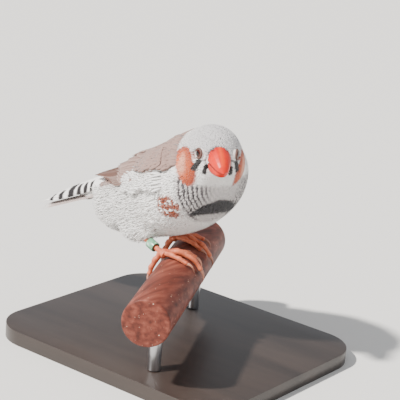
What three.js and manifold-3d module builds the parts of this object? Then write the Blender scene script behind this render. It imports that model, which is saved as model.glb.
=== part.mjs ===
// A zebra finch cock at life size, perched and looking over its right shoulder, as a still display model.
// Millimetres, +Z up, +X the way the body faces, +Y the bird's left.
// The origin is the centre of the underside of the display base.

import * as THREE from 'three';
import { mergeVertices } from 'three/addons/utils/BufferGeometryUtils.js';
import Module from 'manifold-3d';

const wasm = await Module();
wasm.setup();

// Driving dimensions

const gap = 0.3; // between touching pieces
const baseLength = 100;
const baseWidth = 84;
const baseThickness = 5;
const baseCorner = 14;
const perchRadius = 8;
const perchHeight = 28; // of the perch's middle line over the floor
const perchTurn = 26.5; // degrees from +Y towards -X
const perchNear = 52; // reach on the bird's right
const perchFar = 38; // reach on the bird's left
const rodRadius = 2.2;
const rodPlaces = [-34, 26]; // along the perch

const spinePitch = 24; // degrees, of the back and tail
const spineHeight = 37.8; // over the perch's middle line, at X = 0
const headCentre = [12.5, -4.7, 45.6]; // from the perch's middle line
const headYaw = -41; // degrees, to the bird's right
const headPitch = 2; // degrees, bill down
const tailLength = 36.4;
const tailCut = -35.5; // along the spine, where the tail leaves the rump
const tailPairs = 5;
const eyeRadius = 2.1;
const eyePlace = [6, 5.1, 2]; // in the head, mirrored for the other side
const lidRadius = 1.75; // of the ring of the lids, at its middle line
const lidThickness = 0.45;
const lidReach = 1.3; // of the lids, out from the eye's centre
const billLength = 10.6;
const billRoot = 7.2; // forward of the head's centre
const billSunk = 3; // how far the bill starts behind its root, before the head is cut from it
const billDrop = 0.7; // the mouth line over the head's centre
const billHalfWidth = 4.4;
const billRise = 5; // culmen over the mouth line
const billFall = 5; // chin under the mouth line
const billCurl = 2.2; // how far the tip bends down
const billOverlap = 1.2; // of the upper tip past the lower one
const nostrilPlace = [9.1, 2.3, 4.6]; // in the head, mirrored for the other side
const nostrilRadius = 0.55;
const vaneThickness = 0.55;
const rootDepth = 0.8; // from the tail's cut back to the roots of its feathers
const fanDrop = 1; // of the closed tail feathers under the middle line of the spine there
const bodyCell = 2.9; // size of the facets of the trunk
const headCell = 1.85; // and of the neck and head
const heelPad = 1.7; // radius of the ball where the toes meet
const toePlace = -30; // degrees round the perch from its top, where the toes meet
const ankleHeight = 2.6; // of the shank's foot, over the perch
const shankRadius = 0.95;
const shankWaist = 0.85;
const ringInner = 1.3;
const ringOuter = 1.75;
const ringHalfLength = 1.7;
const ringHeight = 5; // up the shank from its foot

const radians = THREE.MathUtils.degToRad;
const lerp = THREE.MathUtils.lerp;
const vector = (x, y, z) => new THREE.Vector3(x, y, z);
const overPerch = (x, y, z) => vector(x, y, z + perchHeight);
const sides = [['right', -1], ['left', 1]];

// Joining and cutting

function welded(geometry) {
  // the same form with its seams closed and no empty triangles, before it is turned or moved
  geometry.deleteAttribute('normal');
  geometry.deleteAttribute('uv');
  const merged = mergeVertices(geometry, 1e-4);
  const kept = [];
  for (let i = 0; i < merged.index.count; i += 3) {
    const corners = [0, 1, 2].map((n) => merged.index.getX(i + n));
    if (new Set(corners).size === 3) kept.push(...corners);
  }
  merged.setIndex(kept);
  return merged;
}

function solidOf(geometry) {
  return new wasm.Manifold(new wasm.Mesh({
    numProp: 3,
    vertProperties: new Float32Array(geometry.attributes.position.array),
    triVerts: new Uint32Array(geometry.index.array),
  }));
}

function geometryOf(solid) {
  const pieces = solid.decompose().sort((a, b) => b.volume() - a.volume());
  const mesh = pieces[0].getMesh();
  const geometry = new THREE.BufferGeometry();
  geometry.setAttribute('position', new THREE.BufferAttribute(mesh.vertProperties, 3));
  geometry.setIndex(new THREE.BufferAttribute(mesh.triVerts, 1));
  const loose = geometry.toNonIndexed();
  loose.computeVertexNormals();
  return loose;
}

function halfSpace(point, normal) {
  // a block whose one face passes through the point, filling the side that the normal leaves
  const size = 300;
  const block = welded(new THREE.BoxGeometry(size, size, size));
  block.translate(0, 0, -size / 2);
  const turn = new THREE.Quaternion().setFromUnitVectors(vector(0, 0, 1), normal.clone().normalize());
  block.applyQuaternion(turn);
  block.translate(point.x, point.y, point.z);
  return solidOf(block);
}

// Closed meshes from grids of points

function closedMesh(points, triangles) {
  const geometry = new THREE.BufferGeometry().setFromPoints(points);
  geometry.setIndex(triangles);
  return geometry;
}

function sheet(top, under) {
  // two like grids of points, joined round their rims; both faces are split the same way
  const rows = top.length;
  const columns = top[0].length;
  const points = [...top.flat(), ...under.flat()];
  const upper = (i, k) => i * columns + k;
  const lower = (i, k) => rows * columns + i * columns + k;
  const triangles = [];
  for (let i = 0; i < rows - 1; i += 1) {
    for (let k = 0; k < columns - 1; k += 1) {
      triangles.push(upper(i, k), upper(i, k + 1), upper(i + 1, k + 1));
      triangles.push(upper(i, k), upper(i + 1, k + 1), upper(i + 1, k));
      triangles.push(lower(i, k), lower(i + 1, k + 1), lower(i, k + 1));
      triangles.push(lower(i, k), lower(i + 1, k), lower(i + 1, k + 1));
    }
  }
  const rim = [];
  for (let k = 0; k < columns; k += 1) rim.push([0, k]);
  for (let i = 1; i < rows; i += 1) rim.push([i, columns - 1]);
  for (let k = columns - 2; k >= 0; k -= 1) rim.push([rows - 1, k]);
  for (let i = rows - 2; i > 0; i -= 1) rim.push([i, 0]);
  rim.forEach(([i, k], n) => {
    const [j, l] = rim[(n + 1) % rim.length];
    triangles.push(upper(i, k), lower(i, k), lower(j, l));
    triangles.push(upper(i, k), lower(j, l), upper(j, l));
  });
  return closedMesh(points, triangles);
}

function loft(rings) {
  // closed rings of as many points each, from the first end to the last, capped from their middles
  const count = rings[0].length;
  const points = rings.flat();
  const middle = (ring) => ring.reduce((sum, p) => sum.add(p), vector(0, 0, 0)).divideScalar(count);
  const first = points.push(middle(rings[0])) - 1;
  const last = points.push(middle(rings[rings.length - 1])) - 1;
  const triangles = [];
  for (let i = 0; i < rings.length - 1; i += 1) {
    for (let k = 0; k < count; k += 1) {
      const next = (k + 1) % count;
      triangles.push(i * count + k, i * count + next, (i + 1) * count + next);
      triangles.push(i * count + k, (i + 1) * count + next, (i + 1) * count + k);
    }
  }
  const end = (rings.length - 1) * count;
  for (let k = 0; k < count; k += 1) {
    const next = (k + 1) % count;
    triangles.push(first, next, k);
    triangles.push(last, end + k, end + next);
  }
  return closedMesh(points, triangles);
}

function limb(stations, facets) {
  // a round, tapering member; each station is a point and its radius
  const curve = new THREE.CatmullRomCurve3(stations.map((station) => station[0]), false, 'centripetal');
  const steps = stations.length - 1;
  const frames = curve.computeFrenetFrames(steps, false);
  const rings = stations.map(([point, radius], i) => {
    const ring = [];
    for (let k = 0; k < facets; k += 1) {
      const angle = (2 * Math.PI * k) / facets;
      const out = frames.normals[i].clone().multiplyScalar(Math.cos(angle) * radius);
      out.addScaledVector(frames.binormals[i], Math.sin(angle) * radius);
      ring.push(point.clone().add(out));
    }
    return ring;
  });
  return loft(rings);
}

// The form of the body, as distances from its surface

function ellipsoid(centre, radii, pitch = 0, yaw = 0) {
  const turn = new THREE.Matrix4().makeRotationFromEuler(
    new THREE.Euler(0, radians(-pitch), radians(yaw), 'ZYX'));
  const back = turn.clone().invert();
  const local = vector(0, 0, 0);
  return (p) => {
    local.copy(p).sub(centre).applyMatrix4(back);
    const [x, y, z] = [local.x / radii[0], local.y / radii[1], local.z / radii[2]];
    const reach = Math.hypot(x, y, z);
    const slope = Math.hypot(x / radii[0], y / radii[1], z / radii[2]);
    return slope < 1e-9 ? -Math.min(...radii) : (reach * (reach - 1)) / slope;
  };
}

function blend(fields, softness) {
  return (p) => fields.reduce((least, field) => {
    const next = field(p);
    const share = Math.max(softness - Math.abs(least - next), 0) / softness;
    return Math.min(least, next) - share * share * softness * 0.25;
  }, Infinity);
}

const trunkForm = blend([
  ellipsoid(overPerch(2.8, 0, 32.4), [18.8, 17.6, 14.4], 44), // breast
  ellipsoid(overPerch(-9.5, 0, 25.4), [19.5, 15.6, 14], 20), // middle
  ellipsoid(overPerch(-24, 0, 19.2), [15, 11.6, 10.5], 18), // rump and belly
  ellipsoid(overPerch(-37.6, 0, 20.2), [14.5, 4.8, 2.8], spinePitch), // root of the tail
], 4);

const headTurn = new THREE.Euler(0, radians(headPitch), radians(headYaw), 'ZYX');
const headFrame = new THREE.Matrix4().makeRotationFromEuler(headTurn)
  .setPosition(overPerch(...headCentre));
const inHead = (x, y, z) => vector(x, y, z).applyMatrix4(headFrame);
const headForm = blend([
  ellipsoid(inHead(-0.6, 0, 0.6), [10, 9, 8.9], -headPitch, headYaw), // crown
  ellipsoid(inHead(1, 3.6, -3.2), [7, 5.4, 5.8], -headPitch, headYaw), // cheeks
  ellipsoid(inHead(1, -3.6, -3.2), [7, 5.4, 5.8], -headPitch, headYaw),
  ellipsoid(inHead(4.2, 0, -1.2), [5.4, 5.8, 5.6], -headPitch, headYaw), // face
], 2.5);
const neckForm = ellipsoid(overPerch(7.2, -1.6, 40.2), [12.4, 12.8, 11.8]);
const bodyForm = blend([trunkForm, neckForm, headForm], 4);

function surfaceOf(field, low, high, cell, level = 0) {
  // a closed mesh of the field's surface at a level: one point in each cell that the surface crosses
  const counts = ['x', 'y', 'z'].map((axis) => Math.ceil((high[axis] - low[axis]) / cell) + 1);
  const [across, deep, tall] = counts;
  const node = (i, j, k) => (k * deep + j) * across + i;
  const place = (i, j, k) => vector(low.x + i * cell, low.y + j * cell, low.z + k * cell);
  const walls = (p) => Math.max(...['x', 'y', 'z'].map(
    (axis) => Math.max(low[axis] - p[axis], p[axis] - high[axis])));
  const value = (p) => Math.max(field(p) - level, walls(p) + 1.5 * cell);
  const values = new Float64Array(across * deep * tall);
  for (let k = 0; k < tall; k += 1) {
    for (let j = 0; j < deep; j += 1) {
      for (let i = 0; i < across; i += 1) values[node(i, j, k)] = value(place(i, j, k));
    }
  }
  const corners = [0, 1, 2, 3, 4, 5, 6, 7].map((n) => [n & 1, (n >> 1) & 1, n >> 2]);
  const edges = [];
  const steps = (a, b) => a.reduce((sum, place, axis) => sum + Math.abs(place - b[axis]), 0);
  corners.forEach((a, m) => corners.slice(m + 1).forEach((b) => {
    if (steps(a, b) === 1) edges.push([a, b]);
  }));
  const points = [];
  const pointAt = new Map();
  for (let k = 0; k < tall - 1; k += 1) {
    for (let j = 0; j < deep - 1; j += 1) {
      for (let i = 0; i < across - 1; i += 1) {
        const middle = vector(0, 0, 0);
        let crossings = 0;
        edges.forEach(([a, b]) => {
          const start = values[node(i + a[0], j + a[1], k + a[2])];
          const end = values[node(i + b[0], j + b[1], k + b[2])];
          if ((start < 0) === (end < 0)) return;
          const from = place(i + a[0], j + a[1], k + a[2]);
          middle.add(from.lerp(place(i + b[0], j + b[1], k + b[2]), start / (start - end)));
          crossings += 1;
        });
        if (crossings > 0) {
          middle.divideScalar(crossings);
          pointAt.set(node(i, j, k), points.push(settle(middle, value)) - 1);
        }
      }
    }
  }
  const triangles = [];
  const quad = (a, b, c, d, flip) => {
    const [p, q, r, s] = [a, b, c, d].map((cellIndex) => pointAt.get(cellIndex));
    if (flip) triangles.push(p, r, q, p, s, r);
    else triangles.push(p, q, r, p, r, s);
  };
  for (let k = 1; k < tall - 1; k += 1) {
    for (let j = 1; j < deep - 1; j += 1) {
      for (let i = 1; i < across - 1; i += 1) {
        const inside = values[node(i, j, k)] < 0;
        if (inside !== values[node(i + 1, j, k)] < 0) {
          quad(node(i, j - 1, k - 1), node(i, j, k - 1), node(i, j, k), node(i, j - 1, k), !inside);
        }
        if (inside !== values[node(i, j + 1, k)] < 0) {
          quad(node(i - 1, j, k - 1), node(i, j, k - 1), node(i, j, k), node(i - 1, j, k), inside);
        }
        if (inside !== values[node(i, j, k + 1)] < 0) {
          quad(node(i - 1, j - 1, k), node(i, j - 1, k), node(i, j, k), node(i - 1, j, k), !inside);
        }
      }
    }
  }
  return closedMesh(points, triangles);
}

function settle(point, value) {
  // slides a point straight onto the surface
  const step = 0.01;
  for (let round = 0; round < 2; round += 1) {
    const here = value(point);
    const slope = vector(
      value(point.clone().add(vector(step, 0, 0))) - here,
      value(point.clone().add(vector(0, step, 0))) - here,
      value(point.clone().add(vector(0, 0, step))) - here,
    ).divideScalar(step);
    point.addScaledVector(slope, -here / Math.max(slope.lengthSq(), 0.1));
  }
  return point;
}

// Places on the back and flanks: a distance along the spine and an angle round it

const spineStart = overPerch(0, 0, spineHeight);
const spineAlong = vector(Math.cos(radians(spinePitch)), 0, Math.sin(radians(spinePitch)));
const spineUp = vector(-spineAlong.z, 0, spineAlong.x);
const bedForm = blend([
  bodyForm,
  ellipsoid(overPerch(-46, 0, 17.8), [24, 6.8, 3.6], spinePitch), // over the tail
], 4);

function onBody(along, angle, lift, form = bedForm) {
  const from = spineStart.clone().addScaledVector(spineAlong, along);
  const out = spineUp.clone().multiplyScalar(Math.cos(angle)).add(vector(0, Math.sin(angle), 0));
  let near = 0;
  let far = 40;
  for (let round = 0; round < 26; round += 1) {
    const half = (near + far) / 2;
    if (form(from.clone().addScaledVector(out, half)) < lift) near = half;
    else far = half;
  }
  return from.addScaledVector(out, near);
}

const featherShape = (t) => Math.min(1, 0.45 + 1.6 * t) * Math.sqrt(Math.max(1 - t ** 5, 0.05));

function vane({
  root, tip, width, rise, thickness = vaneThickness, rows, columns, tilt = 0, shape = featherShape,
}) {
  // one feather on the body: from root to tip, each a distance along the spine and an angle in degrees
  const top = [];
  const under = [];
  for (let i = 0; i <= rows; i += 1) {
    const t = i / rows;
    const along = lerp(root[0], tip[0], t);
    const angle = radians(lerp(root[1], tip[1], t));
    const spread = (width / 2) * shape(t);
    const middle = spineStart.clone().addScaledVector(spineAlong, along);
    const radius = onBody(along, angle, 0).distanceTo(middle);
    const run = new THREE.Vector2(tip[0] - root[0], radians(tip[1] - root[1]) * radius).normalize();
    const upperRow = [];
    const underRow = [];
    for (let k = 0; k < columns; k += 1) {
      const side = 1 - (2 * k) / (columns - 1);
      const s = along - run.y * side * spread;
      const bank = Math.sign(root[1] + tip[1]);
      const a = bank * Math.max(bank * (angle + (run.x * side * spread) / radius), gap / radius);
      const lift = lerp(rise[0], rise[1], t) - tilt * side * bank;
      const thick = thickness * lerp(1, 0.6, t);
      upperRow.push(onBody(s, a, lift + thick));
      underRow.push(onBody(s, a, lift));
    }
    top.push(upperRow);
    under.push(underRow);
  }
  return sheet(top, under);
}

// Nodes

const bird = new THREE.Group();

function addPart(name, geometry, colour, roughness = 0.85, metalness = 0) {
  const material = new THREE.MeshStandardMaterial({ color: colour, roughness, metalness });
  const mesh = new THREE.Mesh(geometry, material);
  mesh.name = name;
  bird.add(mesh);
  return mesh;
}

// Trunk, neck and head, one form parted by thin cuts

const neckAxis = vector(0.5, -0.3, 0.81).normalize();
const neckBase = overPerch(7, -1.4, 36.5);
const headBase = overPerch(10.2, -3.6, 41.6);
const tailPlane = spineStart.clone().addScaledVector(spineAlong, tailCut);
const headLow = vector(-4, -24, 52); // corners of the room that the neck and head are made in
const headHigh = vector(32, 14, 92);
const whole = solidOf(surfaceOf(bodyForm, vector(-52, -24, 28), vector(28, 24, 92), bodyCell));
const fineHead = solidOf(surfaceOf(bodyForm, headLow, headHigh, headCell));
const shiftedOut = (point, axis, by) => point.clone().addScaledVector(axis, by);

const belowNeck = halfSpace(shiftedOut(neckBase, neckAxis, -gap / 2), neckAxis);
const aboveNeckBase = halfSpace(shiftedOut(neckBase, neckAxis, gap / 2), neckAxis.clone().negate());
const belowHead = halfSpace(shiftedOut(headBase, neckAxis, -gap / 2), neckAxis);
const aboveHeadBase = halfSpace(shiftedOut(headBase, neckAxis, gap / 2), neckAxis.clone().negate());
const aheadOfTail = halfSpace(shiftedOut(tailPlane, spineAlong, gap / 2), spineAlong.clone().negate());
const behindTail = halfSpace(shiftedOut(tailPlane, spineAlong, -gap / 2), spineAlong);

// Thighs, set into the belly

const thighRadii = [7, 4.2, 4.6];
const thighPitch = 14; // degrees, front end up
const thighs = [
  { name: 'right', centre: overPerch(-13.4, -8.6, 14) },
  { name: 'left', centre: overPerch(-18.4, 8.6, 14) },
];

function thighBall(thigh, more) {
  const ball = welded(new THREE.SphereGeometry(1, 14, 8));
  ball.scale(...thighRadii.map((radius) => radius + more));
  ball.rotateY(radians(-thighPitch));
  ball.translate(...thigh.centre.toArray());
  return solidOf(ball);
}

let torso = whole.intersect(belowNeck).intersect(aheadOfTail);
thighs.forEach((thigh) => {
  torso = torso.subtract(thighBall(thigh, gap));
});
addPart('torso', geometryOf(torso), 0xe9e6e0);
addPart('neck', geometryOf(fineHead.intersect(aboveNeckBase).intersect(belowHead)), 0xb8aea6);
thighs.forEach((thigh) => {
  addPart(`thigh_${thigh.name}`, geometryOf(thighBall(thigh, 0)), 0xe9e6e0);
});

// Eyes in their sockets, with lids on the head

let head = fineHead.intersect(aboveHeadBase);
sides.forEach(([name, side]) => {
  const centre = inHead(eyePlace[0], eyePlace[1] * side, eyePlace[2]);
  const outward = vector(0.42, side, 0.12).normalize().transformDirection(headFrame);
  const ball = welded(new THREE.SphereGeometry(eyeRadius, 14, 9));
  const socket = welded(new THREE.SphereGeometry(eyeRadius + gap, 14, 9));
  const lids = welded(new THREE.TorusGeometry(lidRadius, lidThickness, 6, 16));
  lids.applyQuaternion(new THREE.Quaternion().setFromUnitVectors(vector(0, 0, 1), outward));
  lids.translate(...centre.clone().addScaledVector(outward, lidReach).toArray());
  ball.translate(centre.x, centre.y, centre.z);
  socket.translate(centre.x, centre.y, centre.z);
  head = head.add(solidOf(lids)).subtract(solidOf(socket));
  addPart(`eye_${name}`, geometryOf(solidOf(ball)), 0x1a0f0b, 0.15);
});
addPart('head', geometryOf(head), 0xd6d2cc);

// The bill, upper and lower halves with the mouth line between them

const billRoom = solidOf(surfaceOf(bodyForm, headLow, headHigh, headCell, gap));

function billHalf(height, length, curl, squareness) {
  const rings = [];
  const steps = 9;
  const arc = 8;
  for (let i = 0; i <= steps; i += 1) {
    const t = i / steps;
    const taper = Math.sqrt(Math.max(1 - t ** 1.7, 0)) * (1 - 0.12 * t) + 0.03;
    const x = billRoot - billSunk + (length + billSunk) * t;
    const sag = -curl * t * t;
    const ring = [];
    for (let k = 0; k <= arc; k += 1) {
      const angle = (Math.PI * k) / arc;
      const y = billHalfWidth * taper * Math.cos(angle);
      const z = height * taper * Math.sin(angle) ** squareness;
      ring.push(inHead(x, y, billDrop + sag + Math.sign(height) * (gap / 2) + z));
    }
    rings.push(height > 0 ? ring : ring.reverse());
  }
  return solidOf(loft(rings)).subtract(billRoom);
}

function nostril(side) {
  const dent = welded(new THREE.SphereGeometry(nostrilRadius, 8, 5));
  dent.scale(1.5, 1, 0.9);
  dent.translate(nostrilPlace[0], side * nostrilPlace[1], nostrilPlace[2]);
  return solidOf(dent.applyMatrix4(headFrame));
}

const billUpper = billHalf(billRise, billLength, billCurl, 0.85).subtract(nostril(1)).subtract(nostril(-1));
const billLower = billHalf(-billFall, billLength - billOverlap, billCurl * 0.86, 0.65);
addPart('bill_upper', geometryOf(billUpper), 0xd8401c, 0.35);
addPart('bill_lower', geometryOf(billLower), 0xd8401c, 0.35);

// Wings: tiers of vanes whose roots lie in a thin plate on the shoulder

const plateLift = 0.7; // of a wing's plate over the body
const plateThickness = 1;
const rootLift = 1.1; // the highest that a vane's root lies, so that it is sunk in the plate

const tiers = [
  // for the lowest and the highest vane of each tier: root and tip (along, angle), width and lift
  { // primaries
    count: 5, rows: 5, widths: [4.4, 5], lifts: [0.7, 1.2],
    roots: [[-2, 78], [-2, 68]], tips: [[-41, 22], [-29, 42]],
  },
  { // secondaries
    count: 4, rows: 3, widths: [5.8, 6.2], lifts: [1.6, 1.8], tilt: 0.25,
    roots: [[-3, 75], [-5, 44]], tips: [[-25, 66], [-28, 38]],
  },
  { // tertials
    count: 3, rows: 3, widths: [7, 7.5], lifts: [2, 2.3],
    roots: [[-3, 52], [-4, 28]], tips: [[-28, 30], [-20, 14]],
  },
  { // greater coverts
    count: 5, rows: 3, widths: [6, 6.6], lifts: [1.9, 2.2], tilt: 0.25,
    roots: [[0, 78], [-1, 36]], tips: [[-11, 75], [-14, 30]],
  },
  { // lesser coverts
    count: 3, rows: 3, widths: [8, 8.4], lifts: [1.6, 1.7], tilt: 0.2,
    roots: [[5, 74], [0.5, 44]], tips: [[-5, 72], [-8, 37]],
  },
];

function wingSolid(bank) {
  let wing = solidOf(vane({
    root: [4.5, 64 * bank],
    tip: [-8, 60 * bank],
    width: 13.5,
    rise: [plateLift, plateLift],
    thickness: plateThickness,
    rows: 3,
    columns: 5,
    shape: (t) => 0.75 + 0.25 * Math.sin(Math.PI * t),
  }));
  tiers.forEach((tier) => {
    for (let n = 0; n < tier.count; n += 1) {
      const share = n / (tier.count - 1);
      const mix = (pair, axis) => lerp(pair[0][axis], pair[1][axis], share);
      const lift = lerp(tier.lifts[0], tier.lifts[1], share);
      wing = wing.add(solidOf(vane({
        root: [mix(tier.roots, 0), mix(tier.roots, 1) * bank],
        tip: [mix(tier.tips, 0), mix(tier.tips, 1) * bank],
        width: lerp(tier.widths[0], tier.widths[1], share),
        rise: [Math.min(lift, rootLift), lift],
        rows: tier.rows,
        columns: 2,
        tilt: tier.tilt,
      })));
    }
  });
  return wing;
}

sides.forEach(([name, side]) => addPart(`wing_${name}`, geometryOf(wingSolid(side)), 0x9c8c88));

// Tail: a core cut from the rump, the closed fan and the barred coverts over it

const tailRoot = tailPlane.clone()
  .addScaledVector(spineAlong, -rootDepth)
  .addScaledVector(spineUp, -fanDrop);
const tailRoof = 0.06; // how steeply the closed fan falls from its middle
const domeHeight = 5.1; // of the coverts over the fan, at the rump
const domeHalfWidth = 5.4;
const domeLength = 42; // the distance back at which the dome would come down to the fan

function tailVane({ root, length, width, fan, rows, columns, height }) {
  // a feather that runs back from the rump, its tip turned outwards by the fan angle
  const grids = [0, 1].map((face) => {
    const grid = [];
    for (let i = 0; i <= rows; i += 1) {
      const t = i / rows;
      const spread = (width / 2) * featherShape(t);
      const thick = vaneThickness * lerp(1, 0.7, t);
      grid.push(columns.map((k) => {
        const across = k * spread + root + Math.sin(radians(fan)) * length * t;
        const inset = 1 - (face * thick) / domeHalfWidth;
        return tailRoot.clone()
          .addScaledVector(spineAlong, -length * t)
          .addScaledVector(spineUp, height(length * t, across) - face * thick)
          .add(vector(0, across * inset, 0));
      }));
    }
    return grid;
  });
  return solidOf(sheet(grids[0], grids[1]));
}

let tail = whole.intersect(behindTail);
for (let n = 0; n < tailPairs; n += 1) {
  [-1, 1].forEach((side) => {
    const drop = (side > 0 ? 0.13 : 0) + 0.26 * n;
    tail = tail.add(tailVane({
      root: side * (0.4 + 0.42 * n),
      length: tailLength - 0.4 * n,
      rows: 3,
      columns: [-1, 1],
      width: lerp(5.2, 4.6, n / (tailPairs - 1)),
      fan: side * (0.4 + 1.05 * n),
      height: (back, across) => -drop - Math.abs(across) * tailRoof,
    }));
  });
}

// The barred coverts lie over the fan as a long dome, highest at the rump and down to the fan at its sides

function dome(back, across) {
  const share = Math.min(Math.abs(across) / domeHalfWidth, 1);
  const fall = Math.sqrt(Math.max(1 - (back / domeLength) ** 1.6, 0));
  return domeHeight * fall * Math.sqrt(1 - 0.98 * share ** 2);
}

const covertRows = [
  // depth under the dome, length, and places across, from the longest row to the shortest
  { sunk: 1, length: 35.6, across: [-3.7, -1.3, 1.3, 3.7] },
  { sunk: 0.5, length: 25, across: [-4, 0, 4] },
  { sunk: 0, length: 15, across: [-4.4, -1.5, 1.5, 4.4] },
];
covertRows.forEach(({ sunk, length, across }) => {
  across.forEach((place) => {
    tail = tail.add(tailVane({
      root: place * 0.8,
      length: length - Math.abs(place) * 0.5,
      width: 4.2,
      fan: place * 0.3,
      rows: 3,
      columns: [-1, 0, 1],
      height: (back, offset) => dome(back, offset) - sunk,
    }));
  });
});
addPart('tail', geometryOf(tail), 0xe4ddd8);

// Perch and stand

const perchAlong = vector(-Math.sin(radians(perchTurn)), Math.cos(radians(perchTurn)), 0);
const perchForward = vector(perchAlong.y, -perchAlong.x, 0);
const perchSolid = (radius, near, far) => {
  const rod = welded(new THREE.CylinderGeometry(radius, radius, near + far, 40));
  rod.translate(0, (far - near) / 2, 0);
  rod.rotateZ(radians(perchTurn));
  rod.translate(0, 0, perchHeight);
  return solidOf(rod);
};
addPart('perch', geometryOf(perchSolid(perchRadius, perchNear, perchFar)), 0x7a3a2c, 0.5);

const plate = new THREE.Shape();
const [halfLength, halfWide] = [baseLength / 2, baseWidth / 2];
plate.moveTo(-halfLength + baseCorner, -halfWide);
plate.lineTo(halfLength - baseCorner, -halfWide);
plate.absarc(halfLength - baseCorner, -halfWide + baseCorner, baseCorner, -Math.PI / 2, 0);
plate.lineTo(halfLength, halfWide - baseCorner);
plate.absarc(halfLength - baseCorner, halfWide - baseCorner, baseCorner, 0, Math.PI / 2);
plate.lineTo(-halfLength + baseCorner, halfWide);
plate.absarc(-halfLength + baseCorner, halfWide - baseCorner, baseCorner, Math.PI / 2, Math.PI);
plate.lineTo(-halfLength, -halfWide + baseCorner);
plate.absarc(-halfLength + baseCorner, -halfWide + baseCorner, baseCorner, Math.PI, 1.5 * Math.PI);
const plateForm = { depth: baseThickness, bevelEnabled: false, curveSegments: 8 };
const base = welded(new THREE.ExtrudeGeometry(plate, plateForm));
addPart('stand_base', geometryOf(solidOf(base)), 0x2c2522, 0.4);

const perchRoom = perchSolid(perchRadius + gap, perchNear, perchFar);
rodPlaces.forEach((along, index) => {
  const foot = baseThickness + gap;
  const rod = welded(new THREE.CylinderGeometry(rodRadius, rodRadius, perchHeight - foot, 20));
  rod.rotateX(Math.PI / 2);
  rod.translate(perchAlong.x * along, perchAlong.y * along, (perchHeight + foot) / 2);
  const name = index === 0 ? 'stand_rod_right' : 'stand_rod_left';
  addPart(name, geometryOf(solidOf(rod).subtract(perchRoom)), 0xb8b8ba, 0.3, 1);
});

// Feet round the perch, and the bare shanks above them

function onPerch(along, angle, height) {
  // a place round the perch: the angle is from its top towards the front, the height over its surface
  const reach = perchRadius + height;
  return vector(0, 0, perchHeight + Math.cos(radians(angle)) * reach)
    .addScaledVector(perchAlong, along)
    .addScaledVector(perchForward, Math.sin(radians(angle)) * reach);
}

const toes = [
  // where the toe starts and ends round the perch, its end along the perch, and its thickness
  { from: toePlace, to: 64, shift: 1.6, claw: 30, girth: 1.05 },
  { from: toePlace, to: 38, shift: 4.8, claw: 26, girth: 0.95 },
  { from: toePlace, to: 30, shift: -4.6, claw: 26, girth: 0.95 },
  { from: toePlace - 4, to: -84, shift: -1.2, claw: -34, girth: 1.1 }, // the hind toe
];

const padHeight = heelPad + gap + 0.1; // of the ball's centre, over the perch

function footSolid(leg) {
  const pad = welded(new THREE.SphereGeometry(heelPad, 10, 7));
  pad.translate(...onPerch(leg.along, toePlace, padHeight).toArray());
  let foot = solidOf(pad);
  toes.forEach((toe) => {
    const stations = [];
    const steps = 6;
    for (let i = 0; i <= steps; i += 1) {
      const t = i / steps;
      const along = leg.along + leg.turn * toe.shift * Math.sin(t * Math.PI / 2);
      const girth = toe.girth * (1 + 0.12 * Math.cos(t * 6 * Math.PI)) * lerp(1, 0.72, t);
      const height = girth + gap + 1.1 * (1 - t) ** 3;
      stations.push([onPerch(along, lerp(toe.from, toe.to, t), height), girth]);
    }
    foot = foot.add(solidOf(limb(stations, 6)));
    const claw = [];
    for (let i = 0; i <= 4; i += 1) {
      const t = i / 4;
      const girth = lerp(0.62, 0.1, t);
      const along = leg.along + leg.turn * toe.shift;
      const height = gap + toe.girth * 0.72 + 0.5 * Math.sin(t * Math.PI) - 0.25 * t;
      claw.push([onPerch(along, toe.to + toe.claw * (t - 0.12), height), girth]);
    }
    foot = foot.add(solidOf(limb(claw, 6)));
  });
  return foot;
}

const legs = [
  { name: 'right', along: -9.6, turn: 1, heel: overPerch(-13.8, -9, 12.4), thigh: thighs[0] },
  { name: 'left', along: 8.8, turn: -1, heel: overPerch(-18.8, 8.8, 13), thigh: thighs[1] },
];
legs.forEach((leg) => {
  const foot = footSolid(leg);
  addPart(`foot_${leg.name}`, geometryOf(foot), 0xd98a66, 0.6);
  const ankle = onPerch(leg.along, toePlace - 2, ankleHeight);
  const stations = [];
  for (let i = 0; i <= 6; i += 1) {
    const t = i / 6;
    stations.push([ankle.clone().lerp(leg.heel, t), lerp(shankRadius, shankWaist, Math.sin(t * Math.PI))]);
  }
  const footRoom = welded(new THREE.SphereGeometry(heelPad + 0.6 + gap, 14, 10));
  footRoom.translate(...onPerch(leg.along, toePlace, padHeight).toArray());
  const shank = solidOf(limb(stations, 10)).subtract(thighBall(leg.thigh, gap));
  addPart(`shank_${leg.name}`, geometryOf(shank.subtract(solidOf(footRoom))), 0xd98a66, 0.6);
  leg.ankle = ankle;
});

// The ring on the right shank

const ringProfile = [
  [ringInner, -ringHalfLength],
  [ringOuter, -ringHalfLength],
  [ringOuter, ringHalfLength],
  [ringInner, ringHalfLength],
  [ringInner, -ringHalfLength],
];
const ring = welded(new THREE.LatheGeometry(ringProfile.map(([r, y]) => new THREE.Vector2(r, y)), 24));
const shankAxis = legs[0].heel.clone().sub(legs[0].ankle).normalize();
ring.applyQuaternion(new THREE.Quaternion().setFromUnitVectors(vector(0, 1, 0), shankAxis));
ring.translate(...legs[0].ankle.clone().addScaledVector(shankAxis, ringHeight).toArray());
addPart('leg_ring', geometryOf(solidOf(ring)), 0x3f9a62, 0.35);

export default bird;
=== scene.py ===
import math

import bpy
import numpy as np
from mathutils import Matrix, Vector


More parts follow.
